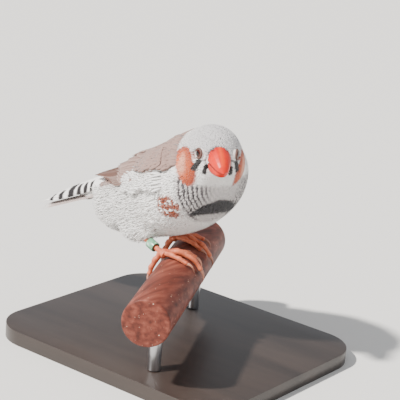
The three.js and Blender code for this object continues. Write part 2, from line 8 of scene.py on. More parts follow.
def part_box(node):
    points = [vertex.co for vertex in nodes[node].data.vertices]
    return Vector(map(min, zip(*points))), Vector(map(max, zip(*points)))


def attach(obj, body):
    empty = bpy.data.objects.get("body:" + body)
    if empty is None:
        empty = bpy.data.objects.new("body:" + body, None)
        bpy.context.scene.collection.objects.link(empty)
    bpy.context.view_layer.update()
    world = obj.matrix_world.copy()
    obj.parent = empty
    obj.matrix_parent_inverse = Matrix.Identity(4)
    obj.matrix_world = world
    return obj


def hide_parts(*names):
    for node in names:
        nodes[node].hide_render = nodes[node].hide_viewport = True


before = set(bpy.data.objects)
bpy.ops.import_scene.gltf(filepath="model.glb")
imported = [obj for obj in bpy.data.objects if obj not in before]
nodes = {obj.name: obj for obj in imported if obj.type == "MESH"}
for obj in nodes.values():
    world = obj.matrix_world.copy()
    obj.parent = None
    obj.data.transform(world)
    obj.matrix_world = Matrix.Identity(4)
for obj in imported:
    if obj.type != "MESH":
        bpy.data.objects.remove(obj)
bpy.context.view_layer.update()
mm = 0.001
print("frame loaded,", len(nodes), "nodes")


# Small tools

def select(*pieces):
    # these pieces and nothing else, the first one active
    bpy.ops.object.select_all(action="DESELECT")
    for piece in pieces:
        piece.select_set(True)
    bpy.context.view_layer.objects.active = pieces[0]


def joined(*pieces):
    select(*pieces)
    if len(pieces) > 1:
        bpy.ops.object.join()
    return pieces[0]


def editWhole(piece, operator, **settings):
    # one edit mode operator on all of a piece
    select(piece)
    bpy.ops.object.mode_set(mode="EDIT")
    bpy.ops.mesh.select_all(action="SELECT")
    operator(**settings)
    bpy.ops.object.mode_set(mode="OBJECT")


def applyModifiers(piece):
    select(piece)
    for modifier in list(piece.modifiers):
        bpy.ops.object.modifier_apply(modifier=modifier.name)


def settlePlace(piece):
    select(piece)
    bpy.ops.object.transform_apply(location=True, rotation=True, scale=True)


def smoothed(piece, angle=180):
    select(piece)
    bpy.ops.object.shade_smooth_by_angle(angle=math.radians(angle))


def bevelled(piece, width, segments=3, limit=40, smoothing=40):
    # rounds the sharp edges by a width in millimetres
    bevel = piece.modifiers.new("bevel", "BEVEL")
    bevel.width = width * mm
    bevel.segments = segments
    bevel.limit_method = "ANGLE"
    bevel.angle_limit = math.radians(limit)
    applyModifiers(piece)
    smoothed(piece, smoothing)


def sphereAt(place, radius, segments=32, rings=16, turn=(0, 0, 0), stretch=(1, 1, 1)):
    bpy.ops.mesh.primitive_uv_sphere_add(segments=segments, ring_count=rings, radius=radius,
                                         location=place, rotation=turn)
    piece = bpy.context.active_object
    piece.scale = stretch
    settlePlace(piece)
    return piece


def finishPiece(piece, material, stands=()):
    # gives a piece its finish, its slot and the nodes it stands for
    piece.data.materials.clear()
    piece.data.materials.append(material)
    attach(piece, "root")
    if stands:
        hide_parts(*stands)
    return piece


def copyOfNodes(label, names):
    # one merged copy of some nodes; the nodes themselves stay as they are
    copies = []
    for name in names:
        twin = bpy.data.objects.new(label + "_" + name, nodes[name].data.copy())
        bpy.context.collection.objects.link(twin)
        copies.append(twin)
    whole = joined(*copies)
    whole.name = label
    editWhole(whole, bpy.ops.mesh.remove_doubles, threshold=0.00001)
    return whole


def remeshed(piece, voxel, smoothing, rounds):
    # an even, rounded skin over a faceted copy
    remesh = piece.modifiers.new("remesh", "REMESH")
    remesh.mode = "VOXEL"
    remesh.voxel_size = voxel * mm
    smooth = piece.modifiers.new("smooth", "SMOOTH")
    smooth.factor = smoothing
    smooth.iterations = rounds
    applyModifiers(piece)
    smoothed(piece)
    return piece


def meshOf(name, points, triangles, patches=None, colours=None):
    # a joined mesh from arrays: points in millimetres, one patch corner for each triangle corner
    mesh = bpy.data.meshes.new(name)
    mesh.vertices.add(len(points))
    mesh.vertices.foreach_set("co", (points * mm).astype(np.float32).ravel())
    mesh.loops.add(triangles.size)
    mesh.loops.foreach_set("vertex_index", triangles.astype(np.int32).ravel())
    mesh.polygons.add(len(triangles))
    mesh.polygons.foreach_set("loop_start", np.arange(0, triangles.size, 3, dtype=np.int32))
    mesh.update(calc_edges=True)
    mesh.polygons.foreach_set("use_smooth", np.ones(len(triangles), dtype=bool))
    if patches is not None:
        layer = mesh.uv_layers.new(name="OFBake")
        layer.data.foreach_set("uv", patches.astype(np.float32).ravel())
    piece = bpy.data.objects.new(name, mesh)
    if colours is not None:
        paint(piece, colours)
    bpy.context.collection.objects.link(piece)
    return piece


def pointsOf(piece):
    places = np.zeros(len(piece.data.vertices) * 3, np.float32)
    piece.data.vertices.foreach_get("co", places)
    return places.reshape(-1, 3).astype(float) / mm


def paint(piece, colours):
    # a colour at each point of the mesh, for its finish
    layer = piece.data.color_attributes.new("plumage", "FLOAT_COLOR", "POINT")
    solid = np.concatenate([np.clip(colours, 0, 1), np.ones((len(colours), 1))], axis=1)
    layer.data.foreach_set("color", solid.astype(np.float32).ravel())


def shade(red, green, blue):
    # a colour as the eye names it, 0 to 255, as light
    value = np.array([red, green, blue]) / 255
    return np.where(value <= 0.04045, value / 12.92, ((value + 0.055) / 1.055) ** 2.4)


def ease(value, low, high):
    # rises softly from 0 to 1 between two values
    share = np.clip((value - low) / (high - low), 0, 1)
    return share * share * (3 - 2 * share)


def fade(value, low, high):
    return 1 - ease(value, low, high)


def inside(value, low, high):
    return (value > low) & (value < high)


def mix(first, second, share):
    share = np.asarray(share)[..., None]
    return first * (1 - share) + second * share


def partWay(pair, share):
    start, end = np.array(pair, float)
    return start + (end - start) * share


def distance(points, place):
    return np.linalg.norm(points - np.array(place), axis=-1)


def unit(vectors):
    return vectors / np.maximum(np.linalg.norm(vectors, axis=-1, keepdims=True), 1e-9)


def wobble(points, scale, seed, waves=4):
    # a soft, repeatable unevenness between -1 and 1, scale in millimetres
    draw = np.random.default_rng(seed)
    total = np.zeros(len(points))
    for _ in range(waves):
        wave = draw.normal(size=3)
        total += np.sin(points @ wave * (2.2 / scale) + draw.uniform(0, 6.28))
    return total / waves


# The form of the body, as distances from its surface, from the same sizes as the solids

spinePitch = 24.0  # degrees that the back rises towards the head
tailRoot = (-37.6, 0, 20.2)
form = {
    "perchHeight": 28.0, "perchRadius": 8.0, "perchTurn": 26.5, "spineHeight": 37.8,
    "headCentre": (12.5, -4.7, 45.6), "headYaw": -41.0, "headPitch": 2.0, "gaze": (0.42, 0.12),
    # each round form: its centre from the perch's middle, its radii and its pitch
    "trunk": (((2.8, 0, 32.4), (18.8, 17.6, 14.4), 44), ((-9.5, 0, 25.4), (19.5, 15.6, 14), 20),
              ((-24, 0, 19.2), (15, 11.6, 10.5), 18), (tailRoot, (14.5, 4.8, 2.8), spinePitch)),
    "neck": ((7.2, -1.6, 40.2), (12.4, 12.8, 11.8), 0),
    "thighs": (((-13.4, -8.6, 14), (7, 4.2, 4.6), 14), ((-18.4, 8.6, 14), (7, 4.2, 4.6), 14)),
    "tailBed": ((-46, 0, 17.8), (24, 6.8, 3.6), spinePitch),
    # the round forms of the head, from its centre and along its own axes
    "head": (((-0.6, 0, 0.6), (10, 9, 8.9)), ((1, 3.6, -3.2), (7, 5.4, 5.8)),
             ((1, -3.6, -3.2), (7, 5.4, 5.8)), ((4.2, 0, -1.2), (5.4, 5.8, 5.6))),
    "bodySoftness": 4, "headSoftness": 2.5, "thighSoftness": 2.5,
}
eyes = ((-1, "eye_right"), (1, "eye_left"))


def overPerch(x, y, z):
    return np.array([x, y, z + form["perchHeight"]], float)


def frameOf(pitch, yaw):
    # columns forward, left and up of something pitched up and turned to its left
    p, y = math.radians(pitch), math.radians(yaw)
    forward = np.array([math.cos(p) * math.cos(y), math.cos(p) * math.sin(y), math.sin(p)])
    left = np.array([-math.sin(y), math.cos(y), 0.0])
    return np.stack([forward, left, np.cross(forward, left)], axis=1)


def ellipsoid(centre, radii, pitch=0.0, yaw=0.0):
    turn, radii = frameOf(pitch, yaw), np.array(radii, float)

    def field(points):
        local = (points - centre) @ turn / radii
        reach = np.linalg.norm(local, axis=-1)
        slope = np.linalg.norm(local / radii, axis=-1)
        return reach * (reach - 1) / np.maximum(slope, 1e-6)
    return field


def bodyRound(place, radii, pitch):
    return ellipsoid(overPerch(*place), radii, pitch)


def headRound(place, radii):
    return ellipsoid(inHead(*place), radii, -form["headPitch"], form["headYaw"])


def blend(fields, softness):
    def field(points):
        least = fields[0](points)
        for other in fields[1:]:
            following = other(points)
            share = np.maximum(softness - np.abs(least - following), 0) / softness
            least = np.minimum(least, following) - share * share * softness * 0.25
        return least
    return field


headTurn = frameOf(-form["headPitch"], form["headYaw"])
headCentre = overPerch(*form["headCentre"])
spineTurn = frameOf(spinePitch, 0)
spineAlong, spineUp = spineTurn[:, 0], spineTurn[:, 2]
spineStart = overPerch(0, 0, form["spineHeight"])
leftWay = np.array([0.0, 1.0, 0.0])


def inHead(x, y, z):
    return headCentre + headTurn @ np.array([x, y, z], float)


def gazeOf(bank):
    # the way an eye faces: outwards, a little forward and up
    forward, up = form["gaze"]
    return headTurn @ unit(np.array([forward, bank, up]))


trunkForm = blend([bodyRound(*one) for one in form["trunk"]], form["bodySoftness"])
headForm = blend([headRound(*one) for one in form["head"]], form["headSoftness"])
bodyForm = blend([trunkForm, bodyRound(*form["neck"]), headForm], form["bodySoftness"])
bedForm = blend([bodyForm, bodyRound(*form["tailBed"])], form["bodySoftness"])
coatForm = blend([bodyForm, *(bodyRound(*one) for one in form["thighs"])], form["thighSoftness"])


def outwards(points, field, step=0.05):
    # the way straight out of a surface
    here = field(points)
    slope = [field(points + np.eye(3)[axis] * step) - here for axis in range(3)]
    return unit(np.stack(slope, axis=-1))


def lifted(points, height):
    # the same places at a height over the coat's own form
    normals = outwards(points, coatForm)
    for _ in range(2):
        points = points + normals * (height - coatForm(points))[:, None]
    return points


def onBody(along, angle, lift, farthest=40.0, halvings=22):
    # places on the back and flanks: a distance along the spine, an angle round it, a height
    start = spineStart + along[..., None] * spineAlong
    out = np.cos(angle)[..., None] * spineUp + np.sin(angle)[..., None] * leftWay
    near, far = np.zeros(along.shape), np.full(along.shape, farthest)
    for _ in range(halvings):
        half = (near + far) / 2
        within = bedForm(start + out * half[..., None]) < lift
        near, far = np.where(within, half, near), np.where(within, far, half)
    return start + out * near[..., None]


def chart(points):
    # where a point lies along the spine and round it, in millimetres and degrees
    away = points - spineStart
    return away @ spineAlong, np.degrees(np.arctan2(away[..., 1], away @ spineUp))


# Markings, shared by the skin and the coat; a pair is where something starts and where it is full

plumage = {
    # the crown's darker scale colour is partly painted shade; the colour at the back of the head is painted
    # paler as painted sunlight
    "crown": shade(206, 203, 203), "crownScaleAndShade": shade(140, 136, 138), "sunlitNape": shade(222, 219, 217),
    "white": shade(248, 246, 243), "black": shade(24, 20, 20),
    # the cheek's pale pinkish colour is a painted highlight, not a feather colour
    "cheek": shade(200, 88, 36), "cheekRim": shade(166, 62, 22), "cheekHighlight": shade(234, 168, 138),
    "throat": shade(214, 208, 206), "bar": shade(58, 52, 56), "band": shade(34, 31, 35),
    "flank": shade(150, 74, 48), "back": shade(152, 124, 115), "roughScale": 3.0, "unevenness": 0.04,
}
chest = {
    "yaw": -22.0, "chin": (20.0, -6.0, 65.2), "barPeriod": 1.35, "barEdge": (0.35, 0.75),
    "faint": 0.14, "stronger": 0.80, "strongAcross": (3.5, 8.0),
    "chinFade": (15.4, 17.0), "topFade": (9.0, 11.0), "sideFade": (14, 17), "sideHeight": (6, 9),
    "barsBack": -17, "bandBack": -12,
    "band": (18.0, -5.2, 57.4), "bandHalf": (6.4, 2.7), "bandTaper": 2.5, "bandHang": 0.030, "bandSoft": 0.5,
}
flankPatch = {"place": (5.2, 55.4), "size": (4.3, 4.8), "edge": (0.72, 1.02), "spotPeriod": 2.8,
              "spotEdge": (0.25, 0.5), "beyond": 10}
crown = {
    "reach": (11.5, 14.5), "mantleEdge": (6.6, 8.0), "foot": (-1.5, 2.0), "slope": 0.35,
    # painted sunlight pales the back of the head, and painted shade greys the scales towards the front
    "sunlitNapeToCrown": (-5, 2), "napeFront": (-3, 1.5),
    "scaleSize": 0.8, "scaleShare": 0.30, "scaleEdge": (0.1, 0.5), "scaleAndShadeFront": (-6, 0),
    "faceBack": (5.6, 7.0), "faceTop": (1.8, 3.4), "faceFoot": (-9.0, -7.0),
}
cheek = {
    "place": (3.5, -3.3), "turn": 22.0, "size": (4.2, 6.4), "rim": (0.55, 0.95), "edge": (0.92, 1.04),
    # a painted highlight: the pale middle of the oval, its shift, size, edge and share
    "core": 0.12, "coreSize": (0.42, 0.72), "coreEdge": (0.4, 1.0), "coreShare": 0.75,
    "side": (5.4, 6.4), "behind": (-0.5, 0.6), "farthest": 14.5,
}
stripes = {
    # its middle and slope, its foot, its top and where it starts: under the eye and beside the bill
    "tear": (7.85, 0.18, (-3.6, -3.0), (0.4, 1.0), 4.6),
    "loral": (3.79, -0.1, (-4.1, -3.6), (-0.9, -0.3), 7.5),
    "edge": (0.5, 0.8),
}
backPatch = {"half": 80, "rumpWider": 16, "rumpFrom": (17, 22), "tailNarrower": 44, "tailFrom": (34, 43),
             "edge": (-6, 4), "end": (40, 43)}


def chestMarkings(colour, points, rough):
    # a pale throat, fine dark bars that thicken towards the sides, and the solid band under them
    yaw = math.radians(chest["yaw"])
    away = points - np.array(chest["band"])
    across = away @ np.array([-math.sin(yaw), math.cos(yaw), 0])
    ahead = away @ np.array([math.cos(yaw), math.sin(yaw), 0])
    high, reach = away[:, 2], np.abs(across)
    fromChin = distance(points, chest["chin"])
    zone = fade(fromChin + 0.5 * rough, *chest["chinFade"]) * fade(high + 0.5 * rough, *chest["topFade"])
    zone = zone * (ahead > chest["barsBack"])
    zone = zone * (1 - ease(reach, *chest["sideFade"]) * ease(high, *chest["sideHeight"]))
    strength = chest["faint"] + chest["stronger"] * ease(reach + 0.6 * rough, *chest["strongAcross"])
    wave = 0.5 + 0.5 * np.sin(fromChin * (2 * math.pi / chest["barPeriod"]) + 0.9 * rough)
    barred = mix(plumage["throat"], plumage["bar"], ease(wave, *chest["barEdge"]) * strength)
    colour = mix(colour, barred, zone)
    wide, tall = chest["bandHalf"]
    tapered = tall * np.sqrt(np.clip(1 - (reach / (wide + chest["bandTaper"])) ** 2, 0, 1))
    offBand = np.abs(high + chest["bandHang"] * across ** 2 + 0.3 * rough)
    onBand = fade(offBand, tapered - chest["bandSoft"], tapered + chest["bandSoft"])
    return mix(colour, plumage["band"], onBand * (ahead > chest["bandBack"]))


def flankMarkings(colour, points, rough):
    x, y, z = points.T
    flankX = (x - flankPatch["place"][0]) / flankPatch["size"][0]
    flankZ = (z - flankPatch["place"][1]) / flankPatch["size"][1]
    share = fade(np.hypot(flankX, flankZ) + 0.22 * rough, *flankPatch["edge"])
    share = share * (np.abs(y) > flankPatch["beyond"])
    step = 2 * math.pi / flankPatch["spotPeriod"]
    spots = np.sin(x * step * 0.8) * np.sin((z + 0.5 * x) * step)
    spotted = mix(plumage["flank"], plumage["white"], ease(spots, *flankPatch["spotEdge"]))
    return mix(colour, spotted, share)


def crownMarkings(colour, points, x, z, near, rough):
    # a pale grey, finely scaled crown whose scales grow greyer towards the front, partly a real scaled
    # pattern and partly painted shade on that side; the back of the head painted paler as painted sunlight,
    # as far as the mantle; and a white face
    fine = wobble(points, crown["scaleSize"], 12)
    aheadOfMantle = ease(chart(points)[0] + 0.5 * rough, *crown["mantleEdge"])
    onTop = near * ease(z + crown["slope"] * (3 - x) + 0.5 * rough, *crown["foot"])
    behind = near * fade(x, *crown["napeFront"])
    # painted sunlight: the back of the head is painted paler than the crown
    headColour = mix(plumage["sunlitNape"], plumage["crown"], ease(x + rough, *crown["sunlitNapeToCrown"]))
    # the scales grow greyer only towards the front, partly as painted shade
    scaled = crown["scaleShare"] * ease(fine, *crown["scaleEdge"]) * ease(x + rough, *crown["scaleAndShadeFront"])
    headColour = mix(headColour, plumage["crownScaleAndShade"], scaled)
    colour = mix(colour, headColour, np.maximum(onTop, behind) * aheadOfMantle)
    face = near * ease(x, *crown["faceBack"]) * fade(z, *crown["faceTop"]) * ease(z, *crown["faceFoot"])
    return mix(colour, plumage["white"], face)


def cheekMarkings(colour, head, rough):
    # an orange oval tilted back, darker at its rim, with a painted highlight: a pale pinkish middle
    x, y, z = head[:, 0], np.abs(head[:, 1]), head[:, 2]
    tilt = math.radians(cheek["turn"])
    dx, dz = x - cheek["place"][0], z - cheek["place"][1]
    wide = (dx * math.cos(tilt) + dz * math.sin(tilt)) / cheek["size"][0]
    tall = (dz * math.cos(tilt) - dx * math.sin(tilt)) / cheek["size"][1]
    reach = np.hypot(wide, tall)
    oval = mix(plumage["cheek"], plumage["cheekRim"], ease(reach + 0.1 * rough, *cheek["rim"]))
    # painted highlight: a pale patch laid over the middle of the cheek
    coreWide, coreTall = cheek["coreSize"]
    offHighlight = np.hypot((wide - cheek["core"]) / coreWide, (tall - cheek["core"]) / coreTall)
    oval = mix(oval, plumage["cheekHighlight"], fade(offHighlight, *cheek["coreEdge"]) * cheek["coreShare"])
    behind = x + 0.5 - 0.75 * (0.2 - z)
    share = fade(reach + 0.06 * rough, *cheek["edge"]) * ease(y, *cheek["side"])
    share = share * ease(behind, *cheek["behind"])
    return mix(colour, oval, share * (np.linalg.norm(head, axis=1) < cheek["farthest"]))


def stripe(name, over, beside, z, rough):
    middle, slope, foot, top, start = stripes[name]
    reach = np.abs(over - (middle + slope * z)) + 0.08 * rough
    return fade(reach, *stripes["edge"]) * ease(z, *foot) * fade(z, *top) * (beside > start)


def headMarkings(colour, points, rough):
    head = (points - headCentre) @ headTurn
    x, y, z = head[:, 0], np.abs(head[:, 1]), head[:, 2]
    near = fade(distance(head, (0, 0, -1.0)), *crown["reach"])
    colour = crownMarkings(colour, points, x, z, near, rough)
    colour = cheekMarkings(colour, head, rough)
    dark = np.maximum(stripe("tear", x, y, z, rough), stripe("loral", y, x, z, rough))
    return mix(colour, plumage["black"], dark * near)


def markings(points):
    # the bird's colours at places on its surface
    along, angle = chart(points)
    rough = wobble(points, plumage["roughScale"], 11)
    limit = backPatch["half"] + backPatch["rumpWider"] * ease(-along, *backPatch["rumpFrom"])
    limit = limit - backPatch["tailNarrower"] * ease(-along, *backPatch["tailFrom"])
    soft, full = backPatch["edge"]
    backShare = fade(np.abs(angle) + 5 * rough, limit + soft, limit + full)
    colour = mix(plumage["white"], plumage["back"], backShare * fade(-along + rough, *backPatch["end"]))
    colour = chestMarkings(colour, points, rough)
    colour = flankMarkings(colour, points, rough)
    colour = headMarkings(colour, points, rough)
    return np.clip(colour * (1 + plumage["unevenness"] * rough)[:, None], 0, 1)


# Finishes

def material(name, **sockets):
    # a principled finish; each named socket takes its value on the shader itself
    made = bpy.data.materials.new(name)
    made.use_nodes = True
    shader = made.node_tree.nodes["Principled BSDF"]
    for socket, value in sockets.items():
        if socket == "Base_Color":
            value = (*value, 1)
        shader.inputs[socket.replace("_", " ")].default_value = value
    return made, made.node_tree, shader


def link(tree, start, end):
    tree.links.new(start, end)


def painted(tree, name="plumage"):
    # what the mesh holds at each point under this name
    attribute = tree.nodes.new("ShaderNodeAttribute")
    attribute.attribute_name = name
    return attribute


def noiseOver(tree, scale, detail=4.0, stretch=(1, 1, 1), turn=(0, 0, 0)):
    # noise over the piece's own place in metres, stretched and turned by a mapping
    place = tree.nodes.new("ShaderNodeTexCoord")
    mapping = tree.nodes.new("ShaderNodeMapping")
    mapping.inputs["Scale"].default_value = stretch
    mapping.inputs["Rotation"].default_value = turn
    noise = tree.nodes.new("ShaderNodeTexNoise")
    noise.inputs["Scale"].default_value = scale
    noise.inputs["Detail"].default_value = detail
    link(tree, place.outputs["Object"], mapping.inputs["Vector"])
    link(tree, mapping.outputs["Vector"], noise.inputs["Vector"])
    return noise.outputs["Fac"]


def ramped(tree, source, stops):
    ramp = tree.nodes.new("ShaderNodeValToRGB")
    while len(ramp.color_ramp.elements) < len(stops):
        ramp.color_ramp.elements.new(0.5)
    for element, (place, colour) in zip(ramp.color_ramp.elements, stops):
        element.position = place
        element.color = (*colour, 1)
    link(tree, source, ramp.inputs["Fac"])
    return ramp.outputs["Color"]


def bumped(tree, source, strength, depth, shader):
    # the bump's depth is in millimetres
    bump = tree.nodes.new("ShaderNodeBump")
    bump.inputs["Strength"].default_value = strength
    bump.inputs["Distance"].default_value = depth * mm
    link(tree, source, bump.inputs["Height"])
    link(tree, bump.outputs["Normal"], shader.inputs["Normal"])


def mottledPaint(tree, noise, stops, shader):
    # the painted colour times a mottling
    product = tree.nodes.new("ShaderNodeMix")
    product.data_type = "RGBA"
    product.blend_type = "MULTIPLY"
    product.inputs[0].default_value = 1
    link(tree, painted(tree).outputs["Color"], product.inputs[6])
    link(tree, ramped(tree, noise, stops), product.inputs[7])
    link(tree, product.outputs[2], shader.inputs["Base Color"])


def grainedFinish(name, noise, stops, bump, **sockets):
    # a finish whose colour wanders with a noise that also roughens it
    made, tree, shader = material(name, **sockets)
    grain = noiseOver(tree, **noise)
    link(tree, ramped(tree, grain, stops), shader.inputs["Base Color"])
    bumped(tree, grain, *bump, shader)
    return made


def featherFinish(name, streak, grain, roughness=0.72, sheen=0.25):
    # the plumage colour with fine streaks over it
    made, tree, shader = material(name, Roughness=roughness, Sheen_Weight=sheen, Sheen_Roughness=0.45,
                                  Specular_IOR_Level=0.25)
    noise = noiseOver(tree, grain)
    mottledPaint(tree, noise, [(0.3, (1 - streak,) * 3), (0.7, (1, 1, 1))], shader)
    bumped(tree, noise, 0.25, 0.2, shader)
    return made


coatFinish = featherFinish("soft_body_feather", 0.08, 1400)
headFinish = featherFinish("short_head_feather", 0.08, 2200)
vaneFinish = featherFinish("flight_feather", 0.12, 1800, roughness=0.62, sheen=0.12)
skinFinish = featherFinish("down_under_the_coat", 0.15, 900, roughness=0.85)


# Skin: one rounded body under the coat

skin = {
    "flesh": ("torso", "neck", "head", "thigh_right", "thigh_left"),
    "voxel": 0.9, "smoothing": 0.5, "rounds": 6, "depth": 0.85, "headDepth": 0.4, "headEdge": (12, 17),
    "eyeBed": 2.4, "tailRoot": (13.5, 4.8, 2.8), "unwrapAngle": 66, "unwrapMargin": 0.002,
}

skinPiece = copyOfNodes("skin", skin["flesh"])
added = [sphereAt(overPerch(*tailRoot) * mm, 1, turn=(0, -math.radians(spinePitch), 0),
                  stretch=np.array(skin["tailRoot"]) * mm)]
for bank, name in eyes:
    low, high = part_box(name)
    added.append(sphereAt((low + high) / 2, skin["eyeBed"] * mm))
joined(skinPiece, *added)
remeshed(skinPiece, skin["voxel"], skin["smoothing"], skin["rounds"])
places = pointsOf(skinPiece)
nearHead = fade(distance(places, headCentre), *skin["headEdge"])
depth = skin["depth"] * (1 - nearHead) + skin["headDepth"] * nearHead
places = places - outwards(places, coatForm) * depth[:, None]
skinPiece.data.vertices.foreach_set("co", (places * mm).astype(np.float32).ravel())
skinPiece.data.update()
paint(skinPiece, markings(places))
editWhole(skinPiece, bpy.ops.uv.smart_project, angle_limit=math.radians(skin["unwrapAngle"]),
          island_margin=skin["unwrapMargin"])
skinPiece.data.uv_layers.active.name = "OFBake"
finishPiece(skinPiece, skinFinish, skin["flesh"])
print("skin,", len(skinPiece.data.polygons), "faces")


# Coat: small feathers in tufts, each a thin closed blade, rooted on the skin

coat = {
    "seed": 7, "mostInPiece": 6400, "lengths": (1.25, 4.4), "grows": (3, 42), "spacing": 0.21, "width": 0.34,
    "headWider": 1.1, "headRise": 0.05, "bodyRise": 0.15, "headReach": 13.5, "uneven": 0.18, "jitter": 0.16,
    # rings along a blade, with their share of the width and of the colour; the last colour is the tip's
    "rings": (0.0, 0.3, 0.62, 0.86), "shape": (0.4, 0.86, 1.0, 0.7), "shades": (0.86, 0.95, 1.0, 1.02, 1.04),
    "ridge": 0.1, "section": ((-1.0, 0.0), (0.0, 1.0), (1.0, 0.0), (0.0, -0.55)),
    # the chart of the bake: each tuft's patch, the cells it can lie in, and the length that the chart spans
    "patch": 0.003, "cells": 290, "cellSearch": 9, "chartStart": -46, "chartLength": 76,
    # what stays bare: under the wings, over the eyes, round the bill and past the tail's root
    "wingAngles": (28, 74), "wingAlong": (-22, -2), "eyeReach": 1.7, "eyeAhead": 0.7,
    "bill": (8.6, 0, 0.6), "billReach": (1.4, 3.9, 4.2), "end": -43,
}
flow = {"headReach": (9, 15), "onHead": (-0.12, 0, -0.4),
        "chestFacing": (0.0, 0.75), "onChest": (-0.35, 0, -1.0)}
draw = np.random.default_rng(coat["seed"])
skinPiece.data.calc_loop_triangles()
corners = np.zeros(len(skinPiece.data.loop_triangles) * 3, np.int32)
skinPiece.data.loop_triangles.foreach_get("vertices", corners)
skinTriangles = pointsOf(skinPiece)[corners.reshape(-1, 3)]


def tuftLength(points):
    # short on the face, longest on the belly and back
    low, high = coat["lengths"]
    return low + (high - low) * ease(distance(points, inHead(9.5, 0, -0.5)), *coat["grows"])


def scattered(spacingOf, crowd=7.0, growth=1.15):
    # roots spread evenly over the skin: many draws, one kept in each cell of a grid that fits the spacing
    one, two, three = skinTriangles[:, 0], skinTriangles[:, 1], skinTriangles[:, 2]
    size = np.linalg.norm(np.cross(two - one, three - one), axis=1) / 2
    wanted = size * crowd / spacingOf(skinTriangles.mean(1)) ** 2
    many = np.floor(wanted + draw.random(len(wanted))).astype(int)
    owner = np.repeat(np.arange(len(skinTriangles)), many)
    a, b = draw.random(len(owner)), draw.random(len(owner))
    over = a + b > 1
    a[over], b[over] = 1 - a[over], 1 - b[over]
    one, two, three = one[owner], two[owner], three[owner]
    points = one + a[:, None] * (two - one) + b[:, None] * (three - one)
    level = np.round(np.log(spacingOf(points)) / math.log(growth)).astype(int)
    cell = np.floor(points / (growth ** level)[:, None]).astype(int)
    _, kept = np.unique(np.concatenate([cell, level[:, None]], axis=1), axis=0, return_index=True)
    return points[np.sort(kept)]


def scatteredBy(spacing):
    return scattered(lambda points: np.full(len(points), spacing))


def lie(points, normals):
    # the way the feathers lie, from the bill over the head and down the body to the tail
    nearHead = fade(distance((points - headCentre) @ headTurn, (0, 0, 0)), *flow["headReach"])
    chestShare = ease(normals @ spineAlong, *flow["chestFacing"])
    onHead = -headTurn[:, 0] + np.array(flow["onHead"])
    onTrunk = mix(-spineAlong, np.array(flow["onChest"]), chestShare)
    way = onHead * nearHead[:, None] + onTrunk * (1 - nearHead)[:, None]
    return unit(way - normals * (way * normals).sum(1)[:, None])


def cellsFor(u, v):
    # each tuft's own place on the chart: the free cell nearest to its root
    many, search = coat["cells"], range(-coat["cellSearch"], coat["cellSearch"] + 1)
    shifts = sorted(((i, k) for i in search for k in search), key=lambda shift: shift[0] ** 2 + shift[1] ** 2)
    taken, found = set(), np.zeros((len(u), 2))
    for n, (i, k) in enumerate(zip((u * many).astype(int), (v * many).astype(int))):
        for di, dk in shifts:
            place = (min(max(i + di, 1), many - 2), min(max(k + dk, 1), many - 2))
            if place not in taken:
                taken.add(place)
                found[n] = place
                break
    return found / many


def unwrapped(points):
    # an unwrap of the skin's own shape round its long line: along it and round it
    along, angle = chart(points)
    u = (along - coat["chartStart"]) / coat["chartLength"]
    return np.clip(u, 0.005, 0.995), np.clip((angle + 180) / 360, 0.005, 0.995)


def bladeTemplate():
    # the faces of one blade of four-sided rings with a tip, and each face's corner in its patch
    rings, across = len(coat["rings"]), len(coat["section"])
    tip = rings * across
    faces, corners = [], []
    for i in range(rings - 1):
        low, high = coat["rings"][i], coat["rings"][i + 1]
        for k in range(across):
            after = (k + 1) % across
            u0, u1 = k / across, (k + 1) / across
            a, b, c, d = i * across + k, i * across + after, (i + 1) * across + after, (i + 1) * across + k
            faces += [(a, c, b), (a, d, c)]
            corners += [((u0, low), (u1, high), (u1, low)), ((u0, low), (u0, high), (u1, high))]
    last = coat["rings"][-1]
    for k in range(across):
        faces.append(((rings - 1) * across + k, tip, (rings - 1) * across + (k + 1) % across))
        corners.append(((k / across, last), ((k + 0.5) / across, 1.0), ((k + 1) / across, last)))
    faces += [(0, 1, 2), (0, 2, 3)]
    corners += [((0, 0), (0.3, 0), (0.3, 0.2)), ((0, 0), (0.3, 0.2), (0, 0.2))]
    return np.array(faces), np.array(corners, float)


bladeFaces, bladeCorners = bladeTemplate()


def tuftPoints(roots, normals, way, length, width, rise, splay):
    # every blade's rings and tip, from its root on the skin up to its rise over the coat's form
    side = np.cross(normals, way)
    swing = draw.normal(size=len(roots)) * coat["jitter"]
    way, side = unit(way + side * swing[:, None]), unit(side - way * swing[:, None])
    length = length * (1 + coat["uneven"] * draw.normal(size=len(roots)).clip(-1.6, 1.6))
    base, section = coatForm(roots), coat["section"]
    points = []
    for t, share in [*zip(coat["rings"], coat["shape"]), (1.0, 0.0)]:
        for across, over in (section if t < 1 else [(0.0, 0.0)]):
            place = roots + way * (length * t)[:, None] + side * (width * 0.5 * share * across)[:, None]
            height = base + (rise - base) * t ** 0.8 + width * share * coat["ridge"] * over
            for _ in range(2):
                place = place + normals * (height - coatForm(place))[:, None]
            stray = splay * t * t * draw.normal(size=len(roots)) * (t == 1)
            points.append(place + side * stray[:, None])
    return np.stack(points, axis=1), way, length


